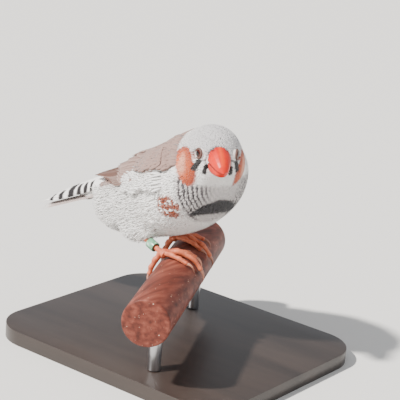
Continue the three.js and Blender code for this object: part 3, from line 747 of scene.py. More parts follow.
def tufts(label, roots, length, width, rise, finish, splay=0.0, colour=None):
    # makes the tufts of one part of the coat, in pieces that stay small enough
    length, width = np.broadcast_to(length, len(roots)), np.broadcast_to(width, len(roots))
    normals = outwards(roots, coatForm)
    points, way, length = tuftPoints(roots, normals, lie(roots, normals), length, width, rise, splay)
    if colour is None:
        colours = markings(roots + normals * 0.4 + way * (length * 0.45)[:, None])
    else:
        colours = np.tile(colour, (len(roots), 1))
    colours = colours * (1 + 0.035 * draw.normal(size=len(roots)))[:, None]
    ringShades = np.repeat(coat["shades"], [len(coat["section"])] * len(coat["rings"]) + [1])
    u, v = unwrapped(roots)
    many = max(1, math.ceil(len(roots) / coat["mostInPiece"]))
    for part in range(many):
        chosen = np.arange(part, len(roots), many)
        faces = bladeFaces[None] + (np.arange(len(chosen)) * points.shape[1])[:, None, None]
        patches = cellsFor(u[chosen], v[chosen])[:, None, None, :] + bladeCorners[None] * coat["patch"]
        pointColours = (colours[chosen][:, None, :] * ringShades[None, :, None]).reshape(-1, 3)
        name = label if many == 1 else label + "_" + str(part + 1)
        piece = meshOf(name, points[chosen].reshape(-1, 3), faces.reshape(-1, 3), patches.reshape(-1, 2),
                       pointColours)
        finishPiece(piece, finish)
    print(label, len(roots), "tufts in", many, "pieces")


def overEyes(points):
    # roots that would stand in front of an eye
    found = np.zeros(len(points), bool)
    for bank, name in eyes:
        low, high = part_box(name)
        away = points - np.array((low + high) / 2) / mm
        deep = away @ gazeOf(bank)
        aside = distance(away, deep[:, None] * gazeOf(bank))
        ahead = (away @ headTurn[:, 0]) / np.maximum(aside, 0.1)
        found |= (aside < coat["eyeReach"] + coat["eyeAhead"] * ahead.clip(0, 1)) & (deep > 0)
    return found


roots = scattered(lambda points: tuftLength(points) * coat["spacing"])
along, angle = chart(roots)
underWing = inside(np.abs(angle), *coat["wingAngles"]) & inside(along, *coat["wingAlong"])
atBill = distance((roots - inHead(*coat["bill"])) @ headTurn / np.array(coat["billReach"]), (0, 0, 0)) < 1
roots = roots[~(underWing | overEyes(roots) | atBill | (along < coat["end"]))]
onHead = distance(roots, headCentre) < coat["headReach"]
length = tuftLength(roots)
tufts("coat_head", roots[onHead], length[onHead], length[onHead] * coat["width"] * coat["headWider"],
      coat["headRise"], headFinish)
tufts("coat_body", roots[~onHead], length[~onHead], length[~onHead] * coat["width"],
      coat["bodyRise"], coatFinish)

mantle = {
    "spacing": 0.72, "length": 4.4, "width": 1.9, "low": 0.5, "high": 2.8, "sunk": 0.8,
    "along": (-8, 9.5), "halfAngle": 86, "middleAngle": 34, "middleLonger": 9, "offHead": 11.2,
    "overWing": (8, 30), "shoulder": (-3, 8),
}
roots = scatteredBy(mantle["spacing"])
along, angle = chart(roots)
reach = np.abs(angle) + 3 * wobble(roots, 5, 31)
ragged = along + 1.2 * wobble(roots, 4, 32)
last, first = mantle["along"]
chosen = (reach < mantle["halfAngle"]) & (ragged < first)
chosen &= ragged > last - mantle["middleLonger"] * (reach < mantle["middleAngle"])
chosen &= distance(roots, headCentre) > mantle["offHead"]
head = (roots - headCentre) @ headTurn
chosen &= (head[:, 0] + 0.75 * head[:, 2] < 0.2) | (np.abs(head[:, 1]) < 5)
roots, along, angle = roots[chosen], along[chosen], np.abs(angle[chosen])
overWing = ease(angle, *mantle["overWing"]) * fade(along, *mantle["shoulder"])
height = mantle["low"] + (mantle["high"] - mantle["low"]) * overWing
tufts("coat_mantle", lifted(roots, height - mantle["sunk"]), mantle["length"], mantle["width"],
      height, coatFinish, colour=plumage["back"])

flanks = {"spacing": 0.6, "length": 5.6, "width": 0.9, "rise": 2.3, "angles": (85, 104), "along": (-14, 2),
          "splay": 0.3}
roots = scatteredBy(flanks["spacing"])
along, angle = chart(roots)
last, first = flanks["along"]
chosen = inside(np.abs(angle) + 4 * wobble(roots, 5, 33), *flanks["angles"])
chosen &= inside(along, last, first + 2 * wobble(roots, 5, 34))
tufts("coat_flank", roots[chosen], flanks["length"], flanks["width"], flanks["rise"], coatFinish,
      flanks["splay"])

down = {"spacing": 0.82, "length": 5.0, "width": 0.36, "rise": 0.55, "higher": 0.35, "higherFrom": (4, 20),
        "fromAngle": 92, "offHead": 24, "end": -38, "splay": 0.5}
roots = scatteredBy(down["spacing"])
along, angle = chart(roots)
chosen = np.abs(angle) > down["fromAngle"] - 4 * wobble(roots, 4, 3)
chosen &= (distance(roots, headCentre) > down["offHead"]) & (along > down["end"])
rise = down["rise"] + down["higher"] * ease(-along[chosen], *down["higherFrom"])
tufts("coat_down", roots[chosen], down["length"], down["width"], rise, coatFinish,
      down["splay"])


# Flight feathers: each a closed, slightly cupped vane

# the under sheet of every vane is painted darker, a painted shade
vanes = {"thickness": 0.14, "rows": 18, "columns": 9, "uneven": 0.05, "roundedEnd": 0.10, "cup": 0.012,
         "clear": 0.3, "underPaintedShade": 0.82}


def featherShape(t):
    return np.minimum(1, 0.45 + 1.6 * t) * np.sqrt(np.maximum(1 - t ** 5, 0.02))


def vaneGrid(rows, columns):
    # how far along a vane and how far to its sides each point lies
    return np.linspace(0, 1, rows)[:, None], np.linspace(1, -1, columns)[None, :]


def vaneFaces(rows, columns):
    # two like grids joined round their rims; both split the same way; each face has its corner in a patch
    def upper(i, k):
        return i * columns + k

    def lower(i, k):
        return rows * columns + i * columns + k

    def spot(i, k, face):
        return (k / (columns - 1)) * 0.46 + face * 0.54, 0.04 + 0.92 * i / (rows - 1)

    faces, corners = [], []
    for i in range(rows - 1):
        for k in range(columns - 1):
            a, b, c, d = (i, k), (i, k + 1), (i + 1, k + 1), (i + 1, k)
            for trio in ((a, b, c), (a, c, d)):
                faces.append([upper(*p) for p in trio])
                corners.append([spot(*p, 0) for p in trio])
                faces.append([lower(*p) for p in reversed(trio)])
                corners.append([spot(*p, 1) for p in reversed(trio)])
    rim = [(0, k) for k in range(columns)] + [(i, columns - 1) for i in range(1, rows)]
    rim += [(rows - 1, k) for k in range(columns - 2, -1, -1)] + [(i, 0) for i in range(rows - 2, 0, -1)]
    for n, here in enumerate(rim):
        there = rim[(n + 1) % len(rim)]
        v0, v1 = n / len(rim), (n + 1) / len(rim)
        faces += [[upper(*here), lower(*here), lower(*there)], [upper(*here), lower(*there), upper(*there)]]
        corners += [[(0.47, v0), (0.53, v0), (0.53, v1)], [(0.47, v0), (0.53, v1), (0.47, v1)]]
    return np.array(faces), np.array(corners, float)


def joinedVanes(label, made, stands=()):
    # one piece from many vanes; made holds (top, under, colours) of like grids
    rows, columns = made[0][0].shape[:2]
    faces, corners = vaneFaces(rows, columns)
    across = math.ceil(math.sqrt(len(made)))
    points, triangles, patches, colours = [], [], [], []
    for n, (top, under, colour) in enumerate(made):
        points += [top.reshape(-1, 3), under.reshape(-1, 3)]
        # painted shade: the under sheet takes a darker copy of the vane's colour
        colours += [colour.reshape(-1, 3), colour.reshape(-1, 3) * vanes["underPaintedShade"]]
        triangles.append(faces + n * rows * columns * 2)
        cell = np.array([n % across, n // across]) + 0.02
        patches.append((corners * 0.96 + cell) / across)
    piece = meshOf(label, np.concatenate(points), np.concatenate(triangles),
                   np.concatenate(patches).reshape(-1, 2), np.concatenate(colours))
    finishPiece(piece, vaneFinish, stands)
    print(label, len(made), "feathers")


def vaneOnBody(root, tip, width, rise, bank, tilt, seed):
    # a feather of the wing, from root to tip, each a distance along the spine and an angle in degrees
    t, side = vaneGrid(vanes["rows"], vanes["columns"])
    spread = width / 2 * featherShape(t) * (1 + vanes["uneven"] * np.sin(9 * t + seed))
    back, turn = tip[0] - root[0], math.radians(tip[1] - root[1])
    along = root[0] + back * t + 0 * side
    angle = np.radians(root[1] + (tip[1] - root[1]) * t) + 0 * side
    middle = onBody(along, angle, 0.0)
    radius = np.linalg.norm(middle - (spineStart + along[..., None] * spineAlong), axis=-1)
    run = unit(np.stack([back + 0 * radius, turn * radius], axis=-1))
    rounded = vanes["roundedEnd"] * back * (side ** 2) * t ** 3
    s = along - run[..., 1] * side * spread - rounded
    a = angle + run[..., 0] * side * spread / radius
    a = bank * np.maximum(bank * a, vanes["clear"] / radius)
    lift = rise[0] + (rise[1] - rise[0]) * t - tilt * side * bank + vanes["cup"] * (1 - side ** 2) * width
    thick = vanes["thickness"] * (1 - 0.5 * t) * (1 - 0.55 * np.abs(side))
    return onBody(s, a, lift + thick), onBody(s, a, lift)


tints = {
    "wing": shade(146, 118, 109), "wingEdge": shade(172, 146, 137), "primary": shade(98, 68, 57),
    "shaft": shade(118, 92, 83), "covert": shade(152, 124, 115),
    "fan": shade(112, 88, 86), "fanUnder": shade(226, 206, 200), "fanEdge": shade(236, 224, 218),
    "tailBar": shade(30, 26, 28), "tailWhite": shade(247, 244, 241),
}


def vaneColours(rows, body, edge, shaft, edgeWidth, seed):
    # the web's colour, with a pale edge and a darker shaft
    t, side = vaneGrid(rows, vanes["columns"])
    reach = np.abs(side)
    colour = mix(body, edge, ease(reach + 0.35 * t ** 6, 1 - edgeWidth, 1.0))
    colour = mix(colour, shaft, fade(reach, 0.02, 0.13) * 0.8)
    return colour * (1 + 0.05 * np.sin(side * 23 + t * 40 + seed))[..., None]


wing = {
    "seed": 21, "stray": (0.35, 0.35, 0.12), "mostRootLift": 1.4,
    "tiers": (
        # how many; roots and tips, lowest and highest, along and round; widths; lifts; tilt; web; edge
        (8, ((-2, 78), (-2, 68)), ((-41, 22), (-29, 42)), (4.2, 5.0), (0.9, 1.6), 0.0, "primary", 0.16),
        (6, ((-4, 90), (-3, 80)), ((-31, 80), (-40, 44)), (4.0, 4.6), (0.9, 1.3), 0.0, "primary", 0.16),
        (8, ((-3, 86), (-5, 44)), ((-24, 80), (-28, 38)), (4.8, 5.6), (1.7, 2.0), 0.25, "wing", 0.26),
        (3, ((-3, 52), (-4, 28)), ((-28, 30), (-20, 14)), (7.0, 7.5), (2.2, 2.5), 0.15, "wing", 0.26),
        (10, ((0, 78), (-1, 36)), ((-11, 75), (-14, 30)), (3.8, 4.6), (2.1, 2.4), 0.22, "covert", 0.26),
        (9, ((1, 76), (-1, 40)), ((-7, 73), (-9, 34)), (3.8, 4.4), (2.2, 2.5), 0.2, "covert", 0.26),
    ),
}
for bank, name in ((-1, "wing_right"), (1, "wing_left")):
    chance = np.random.default_rng(wing["seed"])
    made = []
    for many, starts, tips, widths, lifts, tilt, web, edgeWidth in wing["tiers"]:
        for n in range(many):
            share = n / (many - 1)
            stray = chance.normal(size=3) * wing["stray"]
            lift = partWay(lifts, share)
            start = partWay(starts, share) * (1, bank)
            tip = partWay(tips, share) * (1, bank) + stray[:2]
            width = partWay(widths, share) + stray[2]
            top, under = vaneOnBody(start, tip, width, (min(lift, wing["mostRootLift"]), lift), bank, tilt, n)
            colours = vaneColours(vanes["rows"], tints[web], tints["wingEdge"], tints["shaft"], edgeWidth, n)
            made.append((top, under, colours))
    joinedVanes(name + "_feathers", made, [name])


# Tail: the closed fan, the barred coverts over it and the white ones under it

tail = {
    "rows": 34, "thickness": 0.16, "start": -36.3, "sunk": 1.0, "spread": 0.8, "shorter": 0.5, "cup": 0.10,
    "domeHeight": 5.1, "domeHalf": 5.4, "domeLength": 42.0,
    "pairs": 6, "length": 36.4, "step": 0.4, "width": 5.2, "narrower": 0.12,
    "fan": (0.4, 0.85), "root": (0.4, 0.36), "drop": 0.24, "leftDrop": 0.12,
    # rows of coverts: depth under the dome, or under the fan; length; places across
    "coverts": (
        (0.95, 35.0, (-3.9, -2.3, -0.8, 0.8, 2.3, 3.9)),
        (0.75, 30.5, (-4.1, -2.6, -1.0, 1.0, 2.6, 4.1)),
        (0.58, 26.0, (-4.2, -2.8, -1.4, 0, 1.4, 2.8, 4.2)),
        (0.42, 21.5, (-4.3, -3.0, -1.5, 0, 1.5, 3.0, 4.3)),
        (0.28, 17.0, (-4.4, -3.1, -1.6, 0, 1.6, 3.1, 4.4)),
        (0.14, 12.5, (-4.4, -3.1, -1.6, 0, 1.6, 3.1, 4.4)),
        (0.0, 8.5, (-4.3, -3.0, -1.5, 0, 1.5, 3.0, 4.3)),
    ),
    "under": ((2.0, 19.0, (-2.2, 0, 2.2)), (2.3, 14.0, (-2.6, -0.9, 0.9, 2.6)),
              (2.6, 9.0, (-2.6, -0.9, 0.9, 2.6))),
    # the black bars: distance from the rump, half their length along the tail, how near the middle they reach
    "bars": ((28.0, 1.25, 2.3), (22.8, 1.35, 2.2), (17.2, 1.7, -1.0),
             (13.0, 1.0, 2.0), (9.6, 0.9, 2.6), (6.6, 0.7, 3.0)),
}
tailStart = spineStart + spineAlong * tail["start"] - spineUp * tail["sunk"]


def overDome(back, across):
    # the height of the coverts over the closed fan, highest at the rump and down to the fan at its sides
    share = np.minimum(np.abs(across) / tail["domeHalf"], 1)
    fall = np.sqrt(np.maximum(1 - (back / tail["domeLength"]) ** 1.6, 0))
    return tail["domeHeight"] * fall * np.sqrt(1 - 0.98 * share ** 2)


def overFan(back, across):
    return -np.abs(across) * 0.06


def underFan(back, across):
    return 0.05 * back - np.abs(across) * 0.06


def tailVane(root, length, width, fan, height, sunk):
    # a feather that runs back from the rump, its tip turned outwards by the fan angle
    t, side = vaneGrid(tail["rows"], vanes["columns"])
    grids = []
    for face in (0, 1):
        across = side * width / 2 * featherShape(t) + root + math.sin(math.radians(fan)) * length * t
        back = length * t - vanes["roundedEnd"] * length * side ** 2 * t ** 6
        thick = tail["thickness"] * (1 - 0.5 * t) * (1 - 0.5 * np.abs(side))
        up = height(back, across) - sunk - face * thick + tail["cup"] * (1 - side ** 2)
        narrow = across * (1 - face * thick / tail["domeHalf"])
        grids.append(tailStart - spineAlong * back[..., None] + spineUp * up[..., None]
                     + leftWay * narrow[..., None])
    return grids


def barredColours(top):
    # white with black bars across the sides of the dome, at their places back from the rump
    away = tailStart - top
    back, across = away @ spineAlong, np.abs(away @ leftWay)
    uneven = 0.35 * wobble(top.reshape(-1, 3), 2.2, 41).reshape(back.shape)
    dark = np.zeros(back.shape)
    for place, half, inner in tail["bars"]:
        offBar = np.abs(back - place - 0.12 * (across - 3) + uneven)
        bar = fade(offBar, half - 0.2, half + 0.25) * ease(across + uneven, inner, inner + 0.6)
        dark = np.maximum(dark, bar)
    return mix(tints["tailWhite"], tints["tailBar"], dark)


def whiteColours(top):
    return np.broadcast_to(tints["tailWhite"], top.shape)


def covertTiers(label, rows, width, fan, stagger, height, coloursOf):
    # rows of short feathers side by side, every other one a little lower or higher
    made = []
    for depth, length, across in rows:
        for n, place in enumerate(across):
            top, under = tailVane(place * tail["spread"], length - abs(place) * tail["shorter"], width,
                                  place * fan, height, depth + stagger * (n % 2))
            made.append((top, under, coloursOf(top)))
    joinedVanes(label, made)


made = []
for n in range(tail["pairs"]):
    web = tints["fan"] if n < 2 else tints["fanUnder"]
    colours = vaneColours(tail["rows"], web, tints["fanEdge"], web * 0.6, 0.16, n)
    t, _ = vaneGrid(tail["rows"], vanes["columns"])
    colours = mix(colours, tints["tailWhite"], ease(t, 0.84, 0.95) * 0.9)
    length, width = tail["length"] - tail["step"] * n, tail["width"] - tail["narrower"] * n
    root, fan = (tail[key][0] + tail[key][1] * n for key in ("root", "fan"))
    for bank in (-1, 1):
        drop = (tail["leftDrop"] if bank > 0 else 0) + tail["drop"] * n
        made.append((*tailVane(bank * root, length, width, bank * fan, overFan, drop), colours))
joinedVanes("tail_fan", made, ["tail"])
covertTiers("tail_coverts", tail["coverts"], 3.4, 0.3, 0.08, overDome, barredColours)
covertTiers("undertail_coverts", tail["under"], 4.2, 1.2, -0.1, underFan, whiteColours)


# Bill

bill = {
    # the pale ridge colour is a painted highlight, used along the ridge and the keel
    "red": shade(220, 38, 4), "root": shade(186, 20, 6), "ridge": shade(240, 88, 22),
    "mouth": shade(96, 18, 12), "nostril": shade(120, 26, 18),
    "nostrilPlace": (9.3, 2.6, 4.5), "nostrilEdge": (0.5, 1.0),
    "voxel": 0.17, "smoothing": 0.5, "rounds": 4,
    # the line of the mouth: where it starts, how long it is, its height and how far it curls down
    "back": 4.2, "length": 13.6, "drop": 0.7, "curl": 2.2,
}
billFinish, tree, shader = material("waxy_red_bill", Roughness=0.42, Coat_Weight=0.10, Coat_Roughness=0.3,
                                    Subsurface_Weight=0.10, Subsurface_Scale=0.0012, Specular_IOR_Level=0.4)
mottledPaint(tree, noiseOver(tree, 420, 5), [(0.3, (0.86, 0.8, 0.78)), (0.7, (1, 1, 1))], shader)
bumped(tree, noiseOver(tree, 1500, 3), 0.10, 0.1, shader)


def billColours(places):
    # deep red at the root, with painted highlights that make it paler along the ridge and the keel, and with
    # the mouth and the nostrils
    local = (places - headCentre) @ headTurn
    forward, aside = local[:, 0], np.abs(local[:, 1])
    t = np.clip((forward - bill["back"]) / bill["length"], 0, 1)
    overMouth = local[:, 2] - bill["drop"] + bill["curl"] * t * t
    fromNostril = distance(np.abs(local), bill["nostrilPlace"])
    colours = mix(bill["root"], bill["red"], ease(forward, 8, 12))
    # painted highlight along the ridge
    colours = mix(colours, bill["ridge"], fade(aside, 0.3, 1.0) * ease(overMouth, 1.5, 3) * 0.5)
    # painted highlight along the keel
    colours = mix(colours, bill["ridge"], ease(-overMouth, 1.6, 3.4) * 0.35)
    colours = mix(colours, bill["mouth"], fade(np.abs(overMouth), 0.22, 0.5))
    return mix(colours, bill["nostril"], fade(fromNostril, *bill["nostrilEdge"]))


for name in ("bill_upper", "bill_lower"):
    half = remeshed(copyOfNodes(name + "_horn", [name]), bill["voxel"], bill["smoothing"], bill["rounds"])
    paint(half, billColours(pointsOf(half)))
    finishPiece(half, billFinish, [name])
print("bill")


# Eyes and their lids

eye = {
    "iris": shade(66, 22, 12), "pupil": shade(8, 6, 6), "lid": shade(104, 76, 68),
    "beyond": shade(226, 216, 210),
    "ballShare": 0.985, "lidRadius": 1.52, "lidGirth": 0.38, "lidForward": 1.38,
}
eyeFinish, tree, shader = material("wet_eye", Roughness=0.12, Coat_Weight=0.15, Coat_Roughness=0.05,
                                   Specular_IOR_Level=0.4)
# from 0 where the eye looks to 1 at a right angle to it: pupil, iris, dark rim, and pale past the lids
rings = [(0.0, eye["pupil"]), (0.24, eye["pupil"]), (0.27, eye["iris"]), (0.38, eye["iris"]),
         (0.42, eye["pupil"]), (0.60, eye["pupil"]), (0.64, eye["beyond"])]
link(tree, ramped(tree, painted(tree, "gaze").outputs["Fac"], rings), shader.inputs["Base Color"])
lidStops = [(0.3, eye["lid"] * 0.7), (0.7, eye["lid"])]
lidFinish = grainedFinish("bare_lid", {"scale": 2600}, lidStops, (0.3, 0.1),
                          Roughness=0.5, Specular_IOR_Level=0.3)

for bank, name in eyes:
    low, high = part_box(name)
    centre, gaze = (low + high) / 2, Vector(gazeOf(bank))
    ball = sphereAt(centre, (high - low).x / 2 * eye["ballShare"], segments=48, rings=32)
    ball.name = name + "_ball"
    smoothed(ball)
    outs = [(vertex.co - centre).normalized() for vertex in ball.data.vertices]
    offAxis = [out.angle(gaze) / math.radians(90) for out in outs]
    layer = ball.data.attributes.new("gaze", "FLOAT", "POINT")
    layer.data.foreach_set("value", np.clip(offAxis, 0, 1).astype(np.float32))
    finishPiece(ball, eyeFinish, [name])
    bpy.ops.mesh.primitive_torus_add(major_radius=eye["lidRadius"] * mm, minor_radius=eye["lidGirth"] * mm,
                                     major_segments=56, minor_segments=14,
                                     location=centre + gaze * eye["lidForward"] * mm,
                                     rotation=Vector((0, 0, 1)).rotation_difference(gaze).to_euler())
    lids = bpy.context.active_object
    lids.name = name + "_lids"
    settlePlace(lids)
    smoothed(lids)
    finishPiece(lids, lidFinish)
print("eyes")


# Feet, claws and shanks

leg = {
    "toes": (
        # start and end round the perch, shift along it, claw, girth
        (-30, 64, 1.6, 30, 1.05), (-30, 38, 4.8, 26, 0.95), (-30, 30, -4.6, 26, 0.95),
        (-34, -84, -1.2, -34, 1.1),
    ),
    # side, place along the perch, the way its toes spread, and the heel
    "legs": (("right", -9.6, 1, (-13.8, -9, 12.4)), ("left", 8.8, -1, (-18.8, 8.8, 13))),
    "ankle": (-32.0, 2.6), "clear": 0.3, "toeScute": 0.85, "shankScute": 1.1, "clawGirth": (0.62, 0.08),
    "skin": shade(214, 118, 82), "skinDeep": shade(170, 76, 48), "claw": shade(196, 136, 112),
    "clawTip": shade(136, 88, 72), "toeGrid": (72, 16), "clawGrid": (24, 12), "shankGrid": (90, 20),
}
perchTurn = math.radians(form["perchTurn"])
perchAlong = np.array([-math.sin(perchTurn), math.cos(perchTurn), 0.0])
perchForward = np.array([perchAlong[1], -perchAlong[0], 0.0])


def perchAxis(alongIt):
    return np.array([0, 0, form["perchHeight"]]) + np.multiply.outer(alongIt, perchAlong)


def onPerch(alongIt, degrees, height):
    # places over the perch, measured along it and round it from its top
    reach, turn = form["perchRadius"] + height, np.radians(degrees)
    return (perchAxis(alongIt) + np.multiply.outer(np.cos(turn) * reach, [0, 0, 1])
            + np.multiply.outer(np.sin(turn) * reach, perchForward))


def tubeArrays(path, radii, outs, around, ridges=None):
    # a closed round member along a path; ridges raises its outer side in scutes
    steps = len(path)
    tangent = unit(np.gradient(path, axis=0))
    side = unit(np.cross(tangent, outs))
    out = unit(np.cross(side, tangent))
    turn = np.arange(around) * 2 * math.pi / around
    swell = np.ones((steps, around))
    if ridges is not None:
        swell += ridges[:, None] * np.maximum(np.sin(turn), 0)[None] ** 0.5
    ring = (np.cos(turn)[None, :, None] * side[:, None] + np.sin(turn)[None, :, None] * out[:, None])
    points = path[:, None] + ring * (radii[:, None] * swell)[..., None]
    points = np.concatenate([points.reshape(-1, 3), path[:1], path[-1:]])
    faces = []
    first, last = steps * around, steps * around + 1
    for i in range(steps - 1):
        for k in range(around):
            a, b = i * around + k, i * around + (k + 1) % around
            faces += [(a, b, b + around), (a, b + around, a + around)]
    for k in range(around):
        after, end = (k + 1) % around, (steps - 1) * around
        faces += [(first, after, k), (last, end + k, end + after)]
    return points, np.array(faces)


def joinTubes(label, *tubes):
    points, faces, start = [], [], 0
    for tubePoints, tubeFaces in tubes:
        points.append(tubePoints)
        faces.append(tubeFaces + start)
        start += len(tubePoints)
    piece = meshOf(label, np.concatenate(points), np.concatenate(faces))
    editWhole(piece, bpy.ops.mesh.normals_make_consistent, inside=False)
    return piece


def toeTube(place, start, end, shift, girth):
    # a toe that bends round the perch, swollen at its joints, with scutes along its outer side
    steps, around = leg["toeGrid"]
    t = np.linspace(0, 1, steps)
    alongIt = place + shift * np.sin(t * math.pi / 2)
    width = girth * (1 + 0.10 * np.cos(t * 6 * math.pi)) * (1 - 0.28 * t)
    path = onPerch(alongIt, start + (end - start) * t, width + leg["clear"] + 1.1 * (1 - t) ** 3)
    run = np.concatenate([[0], np.cumsum(np.linalg.norm(np.diff(path, axis=0), axis=1))])
    ridges = 0.12 * (1 - (run / leg["toeScute"]) % 1.0)
    closing = np.sqrt(np.clip(1 - ((t - 0.94) / 0.06).clip(0, 1) ** 2, 0.05, 1))
    return tubeArrays(path, width * closing, path - perchAxis(alongIt), around, ridges)


def clawTube(alongIt, end, claw, girth):
    # a curved claw from the toe's tip to its own sharp tip
    steps, around = leg["clawGrid"]
    t = np.linspace(0, 1, steps)
    thick, thin = leg["clawGirth"]
    alongIt = np.full(steps, alongIt)
    height = leg["clear"] + girth * 0.72 + 0.5 * np.sin(t * math.pi) - 0.25 * t
    path = onPerch(alongIt, end + claw * (t - 0.12), height)
    return tubeArrays(path, thick + (thin - thick) * t, path - perchAxis(alongIt), around)


def shankTube(place, heel):
    # the scaled shank from the foot up to the heel, where the thigh's feathers start
    steps, around = leg["shankGrid"]
    degrees, height = leg["ankle"]
    ankle = onPerch(place, degrees, height)
    t = np.linspace(-0.12, 1.0, steps)
    path = ankle + (heel - ankle) * t[:, None]
    run = t * np.linalg.norm(heel - ankle)
    ridges = 0.10 * (1 - (run / leg["shankScute"]) % 1.0)
    width = 1.0 - 0.14 * np.sin(np.clip(t, 0, 1) * math.pi) + 0.25 * fade(t, -0.12, 0.12)
    return tubeArrays(path, width, np.tile(perchForward + [0, 0, 0.1], (steps, 1)), around, ridges)


def hornFinish(name, dark, light, scale, roughness, bump):
    made, tree, shader = material(name, Roughness=roughness, Specular_IOR_Level=0.45, Subsurface_Weight=0.08,
                                  Subsurface_Scale=0.001)
    colour = ramped(tree, noiseOver(tree, scale, 5), [(0.3, dark), (0.65, light)])
    link(tree, colour, shader.inputs["Base Color"])
    bumped(tree, noiseOver(tree, scale * 5, 3), bump, 0.1, shader)
    return made


footFinish = hornFinish("orange_foot_scales", leg["skinDeep"], leg["skin"], 420, 0.5, 0.3)
clawFinish = hornFinish("brown_claw", leg["clawTip"], leg["claw"], 300, 0.35, 0.15)
for name, place, turn, heel in leg["legs"]:
    shank = joinTubes("shank_" + name + "_scaled", shankTube(place, overPerch(*heel)))
    finishPiece(shank, footFinish, ["shank_" + name])
    toes, claws = [], []
    for start, end, shift, claw, girth in leg["toes"]:
        toes.append(toeTube(place, start, end, turn * shift, girth))
        claws.append(clawTube(place + turn * shift, end, claw, girth))
    foot = joinTubes("foot_" + name + "_toes", *toes)
    finishPiece(foot, footFinish, ["foot_" + name])
    finishPiece(joinTubes("foot_" + name + "_claws", *claws), clawFinish)
print("feet")


# Leg ring, perch and stand

ringStops = [(0.3, shade(60, 128, 90)), (0.55, shade(120, 176, 142)), (0.75, shade(208, 226, 212))]
ringFinish = grainedFinish("green_ring", {"scale": 700}, ringStops, (0.15, 0.1),
                           Roughness=0.32, Coat_Weight=0.3, Coat_Roughness=0.2)
band = copyOfNodes("leg_ring_band", ["leg_ring"])
bevelled(band, 0.12, limit=30)
finishPiece(band, ringFinish, ["leg_ring"])

perch = {
    "near": 52.0, "far": 38.0, "sides": 160, "edge": 0.7,
    "dark": shade(70, 32, 24), "mid": shade(108, 52, 40), "light": shade(138, 76, 60),
    "worn": shade(206, 168, 146),
}
perchFinish, tree, shader = material("worn_red_brown_dowel", Roughness=0.6, Specular_IOR_Level=0.3)
grain = noiseOver(tree, 520, 8, stretch=(1, 0.07, 1), turn=(0, 0, -perchTurn))
speck = noiseOver(tree, 1300, 2, stretch=(1, 0.3, 1), turn=(0, 0, -perchTurn))
worn = tree.nodes.new("ShaderNodeMix")
worn.data_type = "RGBA"
worn.inputs[7].default_value = (*perch["worn"], 1)
link(tree, ramped(tree, speck, [(0.70, (0, 0, 0)), (0.76, (1, 1, 1))]), worn.inputs[0])
perchStops = [(0.28, perch["dark"]), (0.5, perch["mid"]), (0.72, perch["light"])]
link(tree, ramped(tree, grain, perchStops), worn.inputs[6])
link(tree, worn.outputs[2], shader.inputs["Base Color"])
bumped(tree, grain, 0.35, 0.3, shader)
bpy.ops.mesh.primitive_cylinder_add(vertices=perch["sides"], radius=form["perchRadius"] * mm,
                                    depth=(perch["near"] + perch["far"]) * mm,
                                    location=perchAxis((perch["far"] - perch["near"]) / 2) * mm,
                                    rotation=(math.pi / 2, 0, perchTurn))
dowel = bpy.context.active_object
dowel.name = "perch_dowel"
bevelled(dowel, perch["edge"], segments=4, smoothing=35)
settlePlace(dowel)
finishPiece(dowel, perchFinish, ["perch"])

stand = {"dark": shade(38, 31, 28), "light": shade(58, 48, 43), "steel": shade(188, 188, 190),
         "baseEdge": 0.9, "rodEdge": 0.1}
baseFinish = grainedFinish("dark_satin_base", {"scale": 90, "detail": 6, "stretch": (0.12, 1, 1)},
                           [(0.3, stand["dark"]), (0.7, stand["light"])], (0.12, 0.3),
                           Roughness=0.38, Coat_Weight=0.15, Coat_Roughness=0.25)
rodFinish, tree, shader = material("brushed_steel_rod", Roughness=0.28, Metallic=1.0,
                                   Base_Color=stand["steel"])
bumped(tree, noiseOver(tree, 1400, 3, stretch=(1, 1, 0.08)), 0.12, 0.1, shader)
for name, slot, finish, edge in (("stand_base", "stand_base", baseFinish, stand["baseEdge"]),
                                 ("stand_rod_left", "stand_rod", rodFinish, stand["rodEdge"]),
                                 ("stand_rod_right", "stand_rod", rodFinish, stand["rodEdge"])):
    part = copyOfNodes(name + "_finished", [name])
    bevelled(part, edge)
    finishPiece(part, finish, [name])
print("perch and stand")


# Floor, camera and light

studio = {
    "floorSize": 40, "floor": shade(226, 224, 220), "around": (0.92, 0.95, 1, 1), "aroundStrength": 0.62,
    "seen": (0.93, 0.93, 0.92, 1), "seenStrength": 2.0,
}
view = {"azimuth": 37.0, "elevation": 17.0, "roll": 5.0, "lens": 130.5, "sensor": 36,
        "eye": (0.28661, -0.37361, 0.19803)}
bpy.ops.mesh.primitive_plane_add(size=studio["floorSize"], location=(0, 0, 0))
floor = bpy.context.active_object
floor.name = "floor"
floor.data.materials.append(material("pale_floor", Roughness=0.8, Base_Color=studio["floor"])[0])

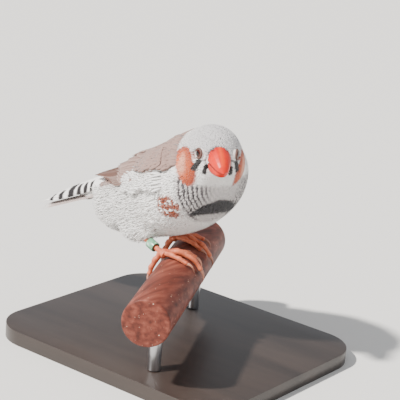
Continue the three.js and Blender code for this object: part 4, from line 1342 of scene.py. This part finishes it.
azimuth, elevation, roll = (math.radians(view[key]) for key in ("azimuth", "elevation", "roll"))
level = Vector((math.cos(azimuth), math.sin(azimuth), 0))
towards = Vector((math.sin(azimuth) * math.cos(elevation), -math.cos(azimuth) * math.cos(elevation),
                  math.sin(elevation)))
upright = towards.cross(level)
cameraX = level * math.cos(roll) + upright * math.sin(roll)
cameraY = upright * math.cos(roll) - level * math.sin(roll)
cameraData = bpy.data.cameras.new("camera")
cameraData.lens = view["lens"]
cameraData.sensor_width = view["sensor"]
cameraData.clip_start = 0.01
camera = bpy.data.objects.new("camera", cameraData)
bpy.context.collection.objects.link(camera)
camera.rotation_mode = "QUATERNION"
camera.rotation_quaternion = Matrix((cameraX, cameraY, towards)).transposed().to_quaternion()
camera.location = view["eye"]
bpy.context.scene.camera = camera


def addLight(name, kind, energy, place, way):
    # a light at a place that shines along a way
    data = bpy.data.lights.new(name, kind)
    data.energy = energy
    lamp = bpy.data.objects.new(name, data)
    bpy.context.collection.objects.link(lamp)
    lamp.location = place
    lamp.rotation_mode = "QUATERNION"
    lamp.rotation_quaternion = way.to_track_quat("-Z", "Y")
    return data


# sunlight from the camera's upper left, with a soft light on the shaded side
sunWay = level * -0.62 + upright * 0.60 + towards * 0.50
sun = addLight("sun", "SUN", 8.5, sunWay, -sunWay)
sun.angle = math.radians(3)
sun.color = (1.0, 0.97, 0.93)
softWay = level * 0.5 + upright * 0.12 + towards * 0.55
soft = addLight("soft", "AREA", 0.8, Vector((0, 0, 0.06)) + softWay, -softWay)
soft.size = 0.6

world = bpy.data.worlds.new("studio")
world.use_nodes = True
tree = world.node_tree
around = tree.nodes["Background"]
seen = tree.nodes.new("ShaderNodeBackground")
for sky, colour, strength in ((around, studio["around"], studio["aroundStrength"]),
                              (seen, studio["seen"], studio["seenStrength"])):
    sky.inputs["Color"].default_value = colour
    sky.inputs["Strength"].default_value = strength
path = tree.nodes.new("ShaderNodeLightPath")
either = tree.nodes.new("ShaderNodeMixShader")
link(tree, path.outputs["Is Camera Ray"], either.inputs[0])
link(tree, around.outputs[0], either.inputs[1])
link(tree, seen.outputs[0], either.inputs[2])
link(tree, either.outputs[0], tree.nodes["World Output"].inputs["Surface"])
bpy.context.scene.world = world
print("floor, camera and light")
